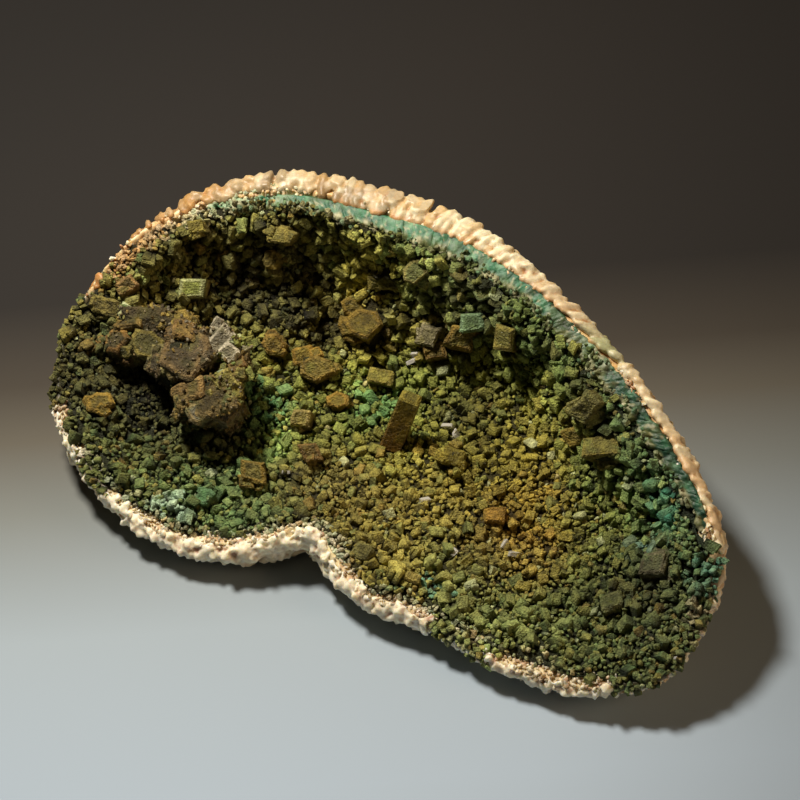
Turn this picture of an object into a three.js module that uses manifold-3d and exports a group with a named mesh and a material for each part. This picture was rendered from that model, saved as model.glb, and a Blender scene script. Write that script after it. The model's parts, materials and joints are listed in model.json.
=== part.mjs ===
// Half of a kidney-shaped geode, lying on the rounded outside of its wall, with its broken mouth
// leaning towards the front. It is two pieces, grown one on the other: a knobbly chalcedony rind,
// and the crust of blocky heulandite crystals that lines the hollow.
//
// Millimetres. +Z is up, +X runs along the mouth, and +Y points to the high wall at the back.
// The origin is on the surface that the geode rests on, under the middle of its box.
// "Mouth" coordinates lie in the plane of the broken edge: u along +X, v up the slope of the
// mouth, and w out of the hollow.
import * as THREE from "three";
import { mergeVertices } from "three/addons/utils/BufferGeometryUtils.js";
import Module from "manifold-3d";

const wasm = await Module();
wasm.setup();

// ---- driving dimensions ----
const mouthSlope = THREE.MathUtils.degToRad(24); // the mouth's slope above level
const mouthHeight = 50; // height of the mouth's plane at u = v = 0
const poleX = 0; // the bottom of the bowl, in plan
const poleY = 6;
const rindFloor = 7; // height of the line between rind and crust, over the pole
const druseFloor = 13; // height of the druse's roots, over the pole
const lowestRind = 1; // height of the outside at the pole, between its knobs
const gap = 0.35; // clearance between rind and crust
const rootDepth = 3; // how deep the large crystals are rooted in the druse
const knobSlope = 0.27; // a knob's rise, as a share of its width
const knobRise = 4; // and the most that it rises
const beadRise = [0.6, 1.6]; // how far the beads of the rind's section stand out of it
const druseSlope = [0.3, 0.55]; // a druse crystal's rise, as a share of its narrower width
const knobJitter = 0.16; // how far knobs are out of line, as a share of their spacing
const druseJitter = 0.26; // and the druse's crystals
const swell = 0.05; // how far the outside bulges past the broken edge, as a share of its reach
const contactSquarer = 0.4; // added to the hollow's squareness, for the rind's inner side
const outsideSquarer = 0.5; // and for its outside

// The broken edge. Each row is one point of it: u and v of the outside, the width of the rind's
// section, the width of the crust's section, how far the outside is rolled back below the mouth's
// plane, and the squareness of the hollow's wall below it (2 is an ellipse, 4 nearly a corner).
const mouth = [
  [-147, -18, 2, 4, 3, 2],
  [-143, 14, 2, 5, 3, 2],
  [-131, 41, 5, 5, 3, 2.3],
  [-110, 63, 10, 5, 3, 2.6],
  [-81, 79, 11, 7, 3, 3],
  [-42, 85, 12, 8, 3, 3.4],
  [3, 81, 11, 8, 3, 3.4],
  [40, 67, 9, 8, 3, 3.2],
  [72, 51, 8, 8, 3, 3],
  [101, 32, 7, 8, 3, 2.6],
  [128, 9, 7, 8, 3, 2.2],
  [146, -15, 5, 7, 3, 2],
  [150, -44, 3, 6, 2, 2],
  [143, -74, 3, 6, 2, 2.2],
  [113, -91, 4, 5, 2, 2.4],
  [79, -92, 4, 5, 1, 2.4],
  [45, -86, 5, 5, 1, 2.4],
  [17, -85, 5, 4, 1, 2.2],
  [2, -78, 5, 3, 1, 2.2],
  [-7, -69, 5, 3, 1, 2.2],
  [-17, -69, 5, 3, 1, 2.2],
  [-33, -81, 6, 3, 1, 2.2],
  [-61, -90, 6, 3, 1, 2.4],
  [-94, -84, 5, 3, 1, 2.4],
  [-120, -69, 4, 3, 2, 2.4],
  [-140, -48, 3, 4, 3, 2.1],
];

// Lines run from the broken edge to the pole, and rings cross them. A ring has a vertex on every
// second line, or on fewer, and every other ring is staggered.
const lineCount = 160;
const outsideRings = [80, 80, 40, 40, 40, 40, 20, 20, 10];
const contactRings = [80, 40, 40, 40, 40, 20, 20, 10];
const druseRings = [80, 80, 80, 80, 80, 40, 40, 40, 40, 40, 40, 20, 20, 10];

// The large crystals of the druse. Each row is the u and v over its root, how far it stands out,
// its width and thickness, its number of sides, its turn in degrees, and its lean along u and v.
const largeCrystals = [
  // high on the left
  [-107, 21, 8, 11, 9, 4, 20, 0.1, -0.2],
  [-134, -3, 6, 12, 7, 4, 5, 0.2, 0],
  [-130, 9, 5, 9, 6, 4, 60, 0.3, 0],
  [-108, 42, 5, 7, 6, 4, 30, 0, -0.3],
  [-76, 53, 7, 10, 7, 4, 10, 0.1, -0.5],
  [-80, 45, 7, 8, 9, 6, 30, 0, -0.3],
  [-121, -43, 8, 11, 9, 6, 15, 0.3, 0.1],
  // the back wall
  [-15, 57, 8, 11, 11, 6, 10, 0.1, -0.6],
  [-31, 51, 7, 12, 6, 4, 15, 0, -0.4],
  [-37, 33, 14, 17, 13, 6, 12, 0.2, -0.1],
  [8, 39, 14, 12, 10, 4, 5, 0.2, -0.2],
  [13, 45, 11, 10, 8, 4, 25, 0.1, -0.3],
  [30, 41, 12, 8, 11, 4, 5, 0.1, -0.3],
  [17, 55, 5, 8, 7, 4, 40, 0, -0.6],
  [-8, 38, 11, 9, 9, 4, 10, 0.2, -0.3],
  [-3, 32, 8, 9, 7, 4, 30, 0.1, -0.2],
  // the middle of the floor
  [-68, 11, 9, 10, 9, 6, 20, 0.1, -0.1],
  [-48, 8, 11, 14, 11, 6, 5, 0.2, -0.1],
  [-56, 11, 7, 9, 8, 4, 35, 0.1, 0],
  [-33, -3, 8, 10, 8, 6, 0, 0.1, -0.1],
  [-22, 14, 7, 12, 7, 4, 10, 0.2, -0.1],
  [-4, -12, 24, 9, 7, 4, 10, 0.3, 1],
  [-43, -17, 7, 8, 7, 4, 20, 0, 0],
  [24, -12, 8, 9, 8, 4, 5, 0.1, 0],
  [-48, -49, 11, 10, 9, 4, 15, 0.1, 0.1],
  [-31, -31, 7, 8, 7, 4, 25, 0, 0.1],
  [51, -31, 6, 9, 7, 4, 20, 0.1, 0.1],
  [11, -66, 6, 9, 7, 6, 10, 0, 0.2],
  [-61, -66, 6, 8, 7, 6, 30, 0, 0.2],
  // the right end
  [87, 9, 11, 15, 12, 6, 20, -0.2, -0.2],
  [71, 12, 8, 10, 7, 4, 35, 0, -0.2],
  [76, 21, 10, 13, 12, 6, 0, -0.1, -0.3],
  [124, -32, 7, 12, 10, 4, 15, -0.3, 0],
  [112, -52, 6, 9, 7, 4, 40, -0.1, 0.1],
];

// The cluster on the left wall, which stands out over the deepest of the hollow. Each row is the
// u, v and w of a crystal's top, its height, and then as above.
const clusterCrystals = [
  [-101, -11, -5, 12, 52, 26, 6, -18, 0, 0],
  [-79, -22, -4, 13, 24, 26, 4, 40, 0.1, 0],
  [-123, -15, 1, 14, 12, 11, 6, 10, -0.1, 0],
  [-121, -5, 1, 13, 13, 10, 4, 15, -0.1, 0.1],
  [-108, 1, 0, 13, 16, 10, 4, -10, 0, 0.2],
  [-109, -13, 2, 12, 14, 13, 6, 20, 0, -0.1],
  [-99, -17, 3, 12, 6, 14, 4, 22, 0.1, 0],
  [-91, -11, 5, 16, 19, 20, 4, -14, 0.05, -0.05],
  [-74, -26, 5, 18, 20, 19, 4, 38, 0.1, -0.1],
  [-69, -18, 6, 14, 9, 9, 4, 50, 0.1, 0.1],
  [-74, -33, 5, 13, 12, 9, 4, 44, 0, -0.2],
  [-83, -32, 3, 12, 9, 8, 4, 20, -0.1, -0.2],
  [-79, -3, 1, 15, 8, 18, 4, -30, 0.1, 0.05],
  [-70, -8, -1, 14, 9, 9, 6, 0, 0.2, 0],
];

// ---- helpers ----
const seeded = (seed) => () => {
  seed = (seed + 0x6d2b79f5) | 0;
  let t = Math.imul(seed ^ (seed >>> 15), 1 | seed);
  t = (t + Math.imul(t ^ (t >>> 7), 61 | t)) ^ t;
  return ((t ^ (t >>> 14)) >>> 0) / 4294967296;
};
const random = seeded(7);
const between = (low, high) => low + (high - low) * random();
const mix = THREE.MathUtils.lerp;
const listOf = (count, make) => Array.from({ length: count }, (_, i) => make(i));

// A direction, and a point, given in the mouth's own coordinates.
const turnMouth = (u, v, w) =>
  new THREE.Vector3(u, v, w).applyAxisAngle(new THREE.Vector3(1, 0, 0), mouthSlope);
const fromMouth = (u, v, w = 0) => turnMouth(u, v, w).add(new THREE.Vector3(0, 0, mouthHeight));

// ---- the broken edge ----
const edgeLine = new THREE.CatmullRomCurve3(
  mouth.map(([u, v]) => new THREE.Vector3(u, v, 0)),
  true,
  "centripetal",
);

// The edge at one line: the rind's outside, the line between rind and crust, and the hollow's lip.
// The widths run towards the pole, and are stretched where that isn't square to the edge.
function edgeAt(line) {
  const t = edgeLine.getUtoTmapping(line / lineCount);
  const at = edgeLine.getPoint(t);
  const [rind, crust, roll, squareness] = edgeValues(t);
  const inward = new THREE.Vector3(poleX, poleY, 0).sub(at).normalize();
  const slant = Math.max(0.6, inward.clone().cross(edgeLine.getTangent(t)).length());
  const inset = (width, w) => {
    const place = at.clone().addScaledVector(inward, width / slant);
    return fromMouth(place.x, place.y, w);
  };
  return {
    squareness,
    outside: inset(0, -roll),
    rind: inset(rind, 0),
    crust: inset(rind + gap, 0),
    lip: inset(rind + crust, 0),
  };
}

// The other values of the edge, read straight between its listed points.
function edgeValues(t) {
  const place = t * mouth.length;
  const from = mouth[Math.floor(place) % mouth.length];
  const to = mouth[(Math.floor(place) + 1) % mouth.length];
  return [2, 3, 4, 5].map((column) => mix(from[column], to[column], place % 1));
}

const edge = listOf(lineCount, edgeAt);

// ---- bowls ----
// The curve from a point on the edge down to the pole is a quarter of a superellipse.
function descent(from, poleZ, squareness, bulge) {
  const steps = 16;
  const points = listOf(steps + 1, (i) => {
    const angle = ((i / steps) * Math.PI) / 2;
    const reach = Math.cos(angle) ** (2 / squareness) + bulge * Math.sin(2 * angle);
    const drop = Math.sin(angle) ** (2 / squareness);
    return new THREE.Vector3(
      mix(poleX, from.x, i < steps ? reach : 0),
      mix(poleY, from.y, i < steps ? reach : 0),
      mix(from.z, poleZ, drop),
    );
  });
  return new THREE.CatmullRomCurve3(points, false, "centripetal");
}

// Rings of points from the edge to the pole, the pole being the last of them.
function bowl(counts, lines, poleZ) {
  const rings = counts.map((count, ring) => {
    const every = lineCount / count;
    const stagger = ring % 2 ? Math.floor(every / 2) : 0;
    return listOf(count, (i) => lines[i * every + stagger].getPointAt(ring / counts.length));
  });
  return [...rings, [new THREE.Vector3(poleX, poleY, poleZ)]];
}

const bowlFrom = (counts, side, poleZ, squarer, bulge) =>
  bowl(
    counts,
    edge.map((at) => descent(at[side], poleZ, at.squareness + squarer, bulge)),
    poleZ,
  );

// ---- cells and solids ----
// The outlines of the cells between one ring and the next, all going the same way round.
function cellsBetween(first, second) {
  const [fine, coarse] = first.length < second.length ? [second, first] : [first, second];
  const stride = coarse.length === 1 ? 1 : fine.length / coarse.length;
  const cells = listOf(fine.length / stride, (i) => {
    const along = listOf(stride + 1, (j) => fine[(i * stride + j) % fine.length]);
    if (coarse.length === 1) return [coarse[0], ...along];
    return [coarse[i], ...along, coarse[(i + 1) % coarse.length]];
  });
  return fine === first ? cells.map((cell) => cell.reverse()) : cells;
}

const fan = (centre, outline) =>
  outline.map((point, i) => [centre, point, outline[(i + 1) % outline.length]]);
const flat = (cell) => fan(cell[0], cell.slice(1)).slice(0, -1);

function middleOf(cell) {
  const middle = new THREE.Vector3();
  cell.forEach((point) => middle.addScaledVector(point, 1 / cell.length));
  return middle;
}

function normalOf(cell) {
  const middle = middleOf(cell);
  const normal = new THREE.Vector3();
  cell.forEach((point, i) => {
    const next = cell[(i + 1) % cell.length];
    normal.add(point.clone().sub(middle).cross(next.clone().sub(middle)));
  });
  return normal.normalize();
}

// A knob: the cell rises to one point over its middle.
function knob(cell) {
  const width = cell[0].distanceTo(cell[2]) * Math.SQRT1_2;
  const rise = Math.min(knobRise, knobSlope * width) * between(0.65, 1);
  return fan(middleOf(cell).addScaledVector(normalOf(cell), rise), cell);
}

// A bead: the same, but lower.
const bead = (cell) =>
  fan(middleOf(cell).addScaledVector(normalOf(cell), between(...beadRise)), cell);

// A druse crystal: a blunt point off the cell's middle, a roof, or a block with a flat top.
function druseCrystal(cell) {
  const kind = random();
  const width = Math.min(cell[0].distanceTo(cell[1]), cell[1].distanceTo(cell[2]));
  const rise = normalOf(cell).multiplyScalar(width * between(...druseSlope));
  if (kind < 0.55 || cell.length !== 4) {
    const apex = middleOf(cell).lerp(cell[Math.floor(random() * cell.length)], between(0, 0.45));
    return fan(apex.add(rise), cell);
  }
  if (kind < 0.92) {
    const [a, b, c, d] = random() < 0.5 ? cell : [...cell.slice(1), cell[0]];
    const near = middleOf([a, b]).lerp(middleOf(cell), between(0.3, 0.7)).add(rise);
    const far = middleOf([c, d]).lerp(middleOf(cell), between(0.3, 0.7)).add(rise);
    return [[a, b, near], [c, d, far], ...flat([b, c, far, near]), ...flat([d, a, near, far])];
  }
  const top = cell.map((point) => point.clone().lerp(middleOf(cell), 0.3).addScaledVector(rise, 1.3));
  const sides = cell.flatMap((point, i) => {
    const next = (i + 1) % cell.length;
    return flat([point, cell[next], top[next], top[i]]);
  });
  return [...sides, ...flat(top)];
}

// The triangles of the strips between neighbouring rings.
const skin = (rings, shape) =>
  rings.slice(1).flatMap((ring, i) => cellsBetween(rings[i], ring).flatMap(shape));

// Moves each point of the rings by up to a share of the distance to its nearer neighbour.
function roughen(rings, share) {
  rings.slice(0, -1).forEach((ring, number) => {
    const next = rings[number + 1];
    const reaches = ring.map((point, i) => {
      const below = next[Math.floor((i * next.length) / ring.length)];
      const beside = ring[(i + 1) % ring.length];
      return share * Math.min(point.distanceTo(below), point.distanceTo(beside));
    });
    ring.forEach((point, i) => {
      const [x, y, z] = [between(-1, 1), between(-1, 1), between(-0.5, 0.5)];
      point.addScaledVector(new THREE.Vector3(x, y, z), reaches[i]);
    });
  });
}

function solidOf(triangles) {
  const geometry = new THREE.BufferGeometry();
  const numbers = triangles.flat().flatMap((point) => point.toArray());
  geometry.setAttribute("position", new THREE.Float32BufferAttribute(numbers, 3));
  return toManifold(geometry);
}

function toManifold(geometry) {
  geometry.deleteAttribute("normal");
  geometry.deleteAttribute("uv");
  const merged = mergeVertices(geometry, 1e-4);
  return new wasm.Manifold(
    new wasm.Mesh({
      numProp: 3,
      vertProperties: new Float32Array(merged.attributes.position.array),
      triVerts: new Uint32Array(merged.index.array),
    }),
  );
}

// ---- the two pieces ----
// The lowest knobs reach below the floor and are cut off there, which leaves the flats that the
// geode rests on.
function rind() {
  const outside = bowlFrom(outsideRings, "outside", lowestRind, outsideSquarer, swell);
  const inside = bowlFrom(contactRings, "rind", rindFloor, contactSquarer, 0);
  roughen(outside, knobJitter);
  const knobbly = skin([...outside].reverse(), knob);
  const brokenEdge = cellsBetween(outside[0], inside[0]).flatMap(bead);
  const whole = solidOf([...knobbly, ...brokenEdge, ...skin(inside, flat)]);
  const aboveTheFloor = new THREE.BoxGeometry(400, 400, 200).translate(0, 0, 100);
  return whole.intersect(toManifold(aboveTheFloor));
}

function crust() {
  const underside = bowlFrom(contactRings, "crust", rindFloor + gap, contactSquarer, 0);
  const druse = bowlFrom(druseRings, "lip", druseFloor, 0, 0);
  roughen(druse, druseJitter);
  const band = cellsBetween(underside[0], druse[0]).flatMap(flat);
  const undersideFaces = skin(underside, flat).map((triangle) => triangle.reverse());
  const ground = solidOf([...undersideFaces, ...band, ...skin(druse, druseCrystal)]);
  const target = new THREE.Mesh(geometryOf(ground));
  const crystals = [
    ...largeCrystals.map((row) => rootedCrystal(target, row)),
    ...clusterCrystals.map(clusterCrystal),
  ];
  return filled(crystals.reduce((whole, each) => whole.add(each), ground));
}

// Without the walls of any pocket that is sealed between crystals.
const filled = (solid) => solid.decompose().reduce((a, b) => (a.volume() > b.volume() ? a : b));

function geometryOf(solid) {
  const { vertProperties, triVerts } = solid.getMesh();
  const geometry = new THREE.BufferGeometry();
  geometry.setAttribute("position", new THREE.BufferAttribute(vertProperties, 3));
  geometry.setIndex(new THREE.BufferAttribute(triVerts, 1));
  return geometry;
}

// A tapered prism with flat ends. Before it is turned, its sides face along X and Y.
function prism(foot, top, width, thickness, sides, turn) {
  const axis = top.clone().sub(foot);
  const radius = 0.5 / Math.cos(Math.PI / sides);
  const shape = new THREE.CylinderGeometry(0.86 * radius, radius, axis.length(), sides);
  shape.rotateX(Math.PI / 2).rotateZ(Math.PI / sides).scale(width, thickness, 1);
  shape.rotateZ(THREE.MathUtils.degToRad(turn));
  const stand = new THREE.Quaternion().setFromUnitVectors(
    new THREE.Vector3(0, 0, 1),
    axis.clone().normalize(),
  );
  const middle = foot.clone().add(top).divideScalar(2);
  return toManifold(shape.applyQuaternion(stand).translate(...middle.toArray()));
}

// Large crystals are rooted where the line straight into the hollow meets the druse.
function rootedCrystal(ground, [u, v, rise, width, thickness, sides, turn, leanU, leanV]) {
  const ray = new THREE.Raycaster(fromMouth(u, v, 60), turnMouth(0, 0, -1));
  const root = ray.intersectObject(ground)[0].point;
  const axis = turnMouth(leanU, leanV, 1).normalize();
  const foot = root.clone().addScaledVector(axis, -rootDepth);
  return prism(foot, root.addScaledVector(axis, rise), width, thickness, sides, turn);
}

function clusterCrystal([u, v, w, height, width, thickness, sides, turn, leanU, leanV]) {
  const top = fromMouth(u, v, w);
  const axis = turnMouth(leanU, leanV, 1).normalize();
  const foot = top.clone().addScaledVector(axis, -height);
  return prism(foot, top, width, thickness, sides, turn);
}

function meshOf(solid, name, color, roughness) {
  const material = new THREE.MeshStandardMaterial({ color, roughness, metalness: 0 });
  const mesh = new THREE.Mesh(geometryOf(solid), material);
  mesh.name = name;
  return mesh;
}

const geode = new THREE.Group();
geode.add(meshOf(rind(), "chalcedony_rind", 0xd9b88c, 0.6));
geode.add(meshOf(crust(), "heulandite_crust", 0x5d6b2e, 0.8));

// The origin goes under the middle of the box.
const box = new THREE.Box3().setFromObject(geode);
const centre = box.getCenter(new THREE.Vector3());
geode.position.set(-centre.x, -centre.y, 0);

export default geode;
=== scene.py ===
import json
import math
import random

import bmesh
import bpy
import numpy as np
from mathutils import Matrix, Vector
from mathutils.bvhtree import BVHTree

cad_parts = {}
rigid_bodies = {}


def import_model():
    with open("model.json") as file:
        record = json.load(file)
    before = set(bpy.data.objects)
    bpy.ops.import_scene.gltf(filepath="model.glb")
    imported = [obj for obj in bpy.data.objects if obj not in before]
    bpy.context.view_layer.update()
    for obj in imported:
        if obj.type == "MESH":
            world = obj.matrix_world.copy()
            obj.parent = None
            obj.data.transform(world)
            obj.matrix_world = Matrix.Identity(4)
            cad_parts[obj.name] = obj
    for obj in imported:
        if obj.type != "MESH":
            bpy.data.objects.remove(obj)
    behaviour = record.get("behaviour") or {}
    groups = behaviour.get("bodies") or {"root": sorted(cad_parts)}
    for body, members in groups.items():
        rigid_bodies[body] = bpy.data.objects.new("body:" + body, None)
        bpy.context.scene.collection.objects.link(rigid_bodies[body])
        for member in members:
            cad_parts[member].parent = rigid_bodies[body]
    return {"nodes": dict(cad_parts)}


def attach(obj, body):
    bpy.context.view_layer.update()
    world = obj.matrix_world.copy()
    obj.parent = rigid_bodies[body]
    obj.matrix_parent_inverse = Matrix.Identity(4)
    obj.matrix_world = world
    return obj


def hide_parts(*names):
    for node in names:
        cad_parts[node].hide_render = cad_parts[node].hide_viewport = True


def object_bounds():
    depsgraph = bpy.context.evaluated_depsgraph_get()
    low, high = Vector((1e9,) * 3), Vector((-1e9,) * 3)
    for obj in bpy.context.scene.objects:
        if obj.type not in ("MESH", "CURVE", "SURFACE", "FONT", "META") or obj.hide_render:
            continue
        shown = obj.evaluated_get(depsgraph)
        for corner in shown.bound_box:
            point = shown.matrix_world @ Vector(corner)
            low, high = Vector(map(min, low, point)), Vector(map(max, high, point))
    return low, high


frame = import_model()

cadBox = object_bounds()
scene = bpy.context.scene
mm = 0.001


def hexColour(text):  # "#rrggbb" in sRGB, turned to linear
    parts = [int(text[i:i + 2], 16) / 255 for i in (1, 3, 5)]
    return [c / 12.92 if c < 0.04045 else ((c + 0.055) / 1.055) ** 2.4 for c in parts] + [1.0]


def addNode(tree, kind, settings={}, links={}):
    node = tree.nodes.new(kind)
    for name, value in settings.items():
        if isinstance(name, str) and hasattr(node, name):
            setattr(node, name, value)
        else:
            node.inputs[name].default_value = value
    for name, source in links.items():
        tree.links.new(source, node.inputs[name])
    return node


def coordsOf(mesh):
    coords = np.empty(len(mesh.vertices) * 3)
    mesh.vertices.foreach_get("co", coords)
    return coords.reshape(-1, 3)


def setCoords(mesh, coords):
    mesh.vertices.foreach_set("co", np.ascontiguousarray(coords, float).ravel())
    mesh.update()


def normalsOf(mesh):
    normals = np.empty(len(mesh.vertices) * 3)
    mesh.vertex_normals.foreach_get("vector", normals)
    return normals.reshape(-1, 3)


def neighbourMean(mesh, values):  # each vertex's mean over the vertices that it shares an edge with
    ends = np.empty(len(mesh.edges) * 2, np.int64)
    mesh.edges.foreach_get("vertices", ends)
    a, b = ends.reshape(-1, 2).T
    values = values.reshape(len(values), -1)
    count = np.maximum(np.bincount(np.r_[a, b], minlength=len(values)), 1)
    columns = [np.bincount(np.r_[a, b], np.r_[v[b], v[a]], minlength=len(values)) / count for v in values.T]
    return np.stack(columns, -1)


def hollowness(mesh, rounds):  # how far each vertex lies under its smoothed surroundings, in mm
    start = coordsOf(mesh)
    smooth = start
    for _ in range(rounds):
        smooth = neighbourMean(mesh, smooth)
    return ((smooth - start) * normalsOf(mesh)).sum(1) / mm


def softNoise(points, grain, seed=0):  # smooth noise from 0 to 1, its grain in mm
    place = np.asarray(points) / (grain * mm) + seed * 17.31
    cell = np.floor(place)
    part = place - cell
    part = part * part * (3 - 2 * part)
    total = np.zeros(len(place))
    for corner in np.ndindex(2, 2, 2):
        chance = np.sin((cell + corner) @ (127.1, 311.7, 74.7)) * 43758.5453
        total += (chance - np.floor(chance)) * np.where(corner, part, 1 - part).prod(1)
    return total


def ramp(values, low, high):
    return np.clip((values - low) / (high - low), 0, 1)


def patchy(points, grain, seed, low, high):  # soft patches, 0 where the noise is under low and 1 over high
    return ramp(softNoise(points, grain, seed), low, high)


def again(chance, factor):  # another chance for the same grain
    return (chance * factor) % 1


def mixColours(first, second, share):  # a colour is rows of rgb, or "#rrggbb"
    first, second = (np.array(hexColour(c)) if isinstance(c, str) else np.asarray(c) for c in (first, second))
    share = np.clip(share, 0, 1).reshape(-1, 1)
    return first[..., :3] * (1 - share) + second[..., :3] * share


def paint(tint, *coats):  # each coat is a colour over what is there, and its share
    for colour, share in coats:
        tint = mixColours(tint, colour, share)
    return tint


def storeAttribute(mesh, name, values):
    values = np.asarray(values, np.float32)
    if values.ndim == 1:
        mesh.attributes.new(name, "FLOAT", "POINT").data.foreach_set("value", values)
    else:
        colours = np.ones((len(values), 4), np.float32)
        colours[:, :3] = values
        mesh.attributes.new(name, "FLOAT_COLOR", "POINT").data.foreach_set("color", colours.ravel())


def dropAttributes(mesh, *names):
    for name in names:
        if name in mesh.attributes:
            mesh.attributes.remove(mesh.attributes[name])


def readAttribute(mesh, name, width=1):
    values = np.empty(len(mesh.vertices) * width, np.float32)
    mesh.attributes[name].data.foreach_get("value" if width == 1 else "vector", values)
    return values.reshape(-1, width) if width > 1 else values


def readColours(mesh, name):
    colours = np.empty(len(mesh.vertices) * 4, np.float32)
    mesh.attributes[name].data.foreach_get("color", colours)
    return colours.reshape(-1, 4)[:, :3].astype(float)


def dress(mesh, material, smooth=True):
    mesh.materials.clear()
    mesh.materials.append(material)
    mesh.polygons.foreach_set("use_smooth", [smooth] * len(mesh.polygons))


def newObject(name, mesh, material=None):
    piece = bpy.data.objects.new(name, mesh)
    scene.collection.objects.link(piece)
    if material:
        mesh.materials.clear()
        mesh.materials.append(material)
    return piece


def meshOf(shape, name):
    mesh = bpy.data.meshes.new(name)
    shape.to_mesh(mesh)
    shape.free()
    return mesh


def closedMesh(name, coords, faces):  # its faces turned outwards
    mesh = bpy.data.meshes.new(name)
    mesh.from_pydata(coords, [], faces)
    shape = bmesh.new()
    shape.from_mesh(mesh)
    bmesh.ops.recalc_face_normals(shape, faces=shape.faces)
    shape.to_mesh(mesh)
    shape.free()
    mesh.update()
    return mesh


def joinMeshes(meshes):  # into the first
    shape = bmesh.new()
    for mesh in meshes:
        shape.from_mesh(mesh)
    shape.to_mesh(meshes[0])
    shape.free()
    return meshes[0]


def report(name, mesh):
    print(name, sum(len(p.vertices) - 2 for p in mesh.polygons), "triangles")


def copyOfNode(node, name):  # a CAD node's mesh with its loose triangles joined
    mesh = frame["nodes"][node].data.copy()
    mesh.materials.clear()
    shape = bmesh.new()
    shape.from_mesh(mesh)
    bmesh.ops.remove_doubles(shape, verts=shape.verts, dist=1e-6)
    shape.to_mesh(mesh)
    shape.free()
    dropAttributes(mesh, "sharp_edge", "sharp_face", "custom_normal")
    return newObject(name, mesh)


def applyModifiers(piece):  # the modifiers' result becomes the piece's own plain mesh
    depsgraph = bpy.context.evaluated_depsgraph_get()
    made = bpy.data.meshes.new_from_object(
        piece.evaluated_get(depsgraph), preserve_all_data_layers=True, depsgraph=depsgraph)
    piece.modifiers.clear()
    piece.data = made
    return made


def remeshed(piece, voxel, smoothing=0):
    remesh = piece.modifiers.new("skin", "REMESH")
    remesh.mode, remesh.voxel_size = "VOXEL", voxel
    if smoothing:
        smooth = piece.modifiers.new("wear", "SMOOTH")
        smooth.factor, smooth.iterations = 0.5, smoothing
    return applyModifiers(piece)


def useTree(piece, tree, values):  # a Geometry Nodes modifier, its inputs set by their identifiers
    modifier = piece.modifiers.new(tree.name, "NODES")
    modifier.node_group = tree
    for item in tree.interface.items_tree:
        if item.item_type == "SOCKET" and item.in_out == "INPUT" and item.name in values:
            modifier[item.identifier] = values[item.name]


def fuse(piece, voxel, rough, grit, rougher):
    # What has grown together gets one skin, and each point keeps the tint of the face that it came
    # from. rough: width and height of its unevenness, and grit: the height of its grit, in mm.
    shape = bmesh.new()
    shape.from_mesh(piece.data)
    source = BVHTree.FromBMesh(shape)
    tint = readColours(piece.data, "tint")[[face.verts[0].index for face in shape.faces]]
    shape.free()
    mesh = remeshed(piece, voxel * mm)
    coords, normals = coordsOf(mesh), normalsOf(mesh)
    nearest = [source.find_nearest(p)[2] for p in coords]
    height = np.random.default_rng(7).uniform(-grit, grit, len(coords))
    for number, (wide, high) in enumerate(rough):
        height += (softNoise(coords, wide, 61 + number) - 0.5) * high
    height *= rougher(coords)
    setCoords(mesh, coords + normals * height[:, None] * mm)
    storeAttribute(mesh, "tint", tint[nearest])


# The hollow's own coordinates: u along +X, v up the slope of the broken mouth, and w out of the
# hollow, in mm.
mouthPlane = dict(slope=math.radians(24), height=50, shiftX=-0.82, shiftY=1.0)
slopeSin, slopeCos = math.sin(mouthPlane["slope"]), math.cos(mouthPlane["slope"])


def fromMouth(u, v, w):
    y = v * slopeCos - w * slopeSin + mouthPlane["shiftY"]
    return Vector((u + mouthPlane["shiftX"], y, mouthPlane["height"] + v * slopeSin + w * slopeCos)) * mm


def turnMouth(u, v, w):
    return Vector((u, v * slopeCos - w * slopeSin, v * slopeSin + w * slopeCos)).normalized()


def toMouth(points):
    x, y, z = (np.asarray(points) / mm).T
    y, z = y - mouthPlane["shiftY"], z - mouthPlane["height"]
    return np.stack([x - mouthPlane["shiftX"], y * slopeCos + z * slopeSin, z * slopeCos - y * slopeSin], -1)


# The broken edge: u and v of the outside, the width of the rind's section, and of the crust's.
mouthEdge = [
    (-147, -18, 2, 4), (-143, 14, 2, 5), (-131, 41, 5, 5), (-110, 63, 10, 5), (-81, 79, 11, 7),
    (-42, 85, 12, 8), (3, 81, 11, 8), (40, 67, 9, 8), (72, 51, 8, 8), (101, 32, 7, 8), (128, 9, 7, 8),
    (146, -15, 5, 7), (150, -44, 3, 6), (143, -74, 3, 6), (113, -91, 4, 5), (79, -92, 4, 5),
    (45, -86, 5, 5), (17, -85, 5, 4), (2, -78, 5, 3), (-7, -69, 5, 3), (-17, -69, 5, 3),
    (-33, -81, 6, 3), (-61, -90, 6, 3), (-94, -84, 5, 3), (-120, -69, 4, 3), (-140, -48, 3, 4),
]
pole = np.array([0.0, 6.0])


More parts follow.
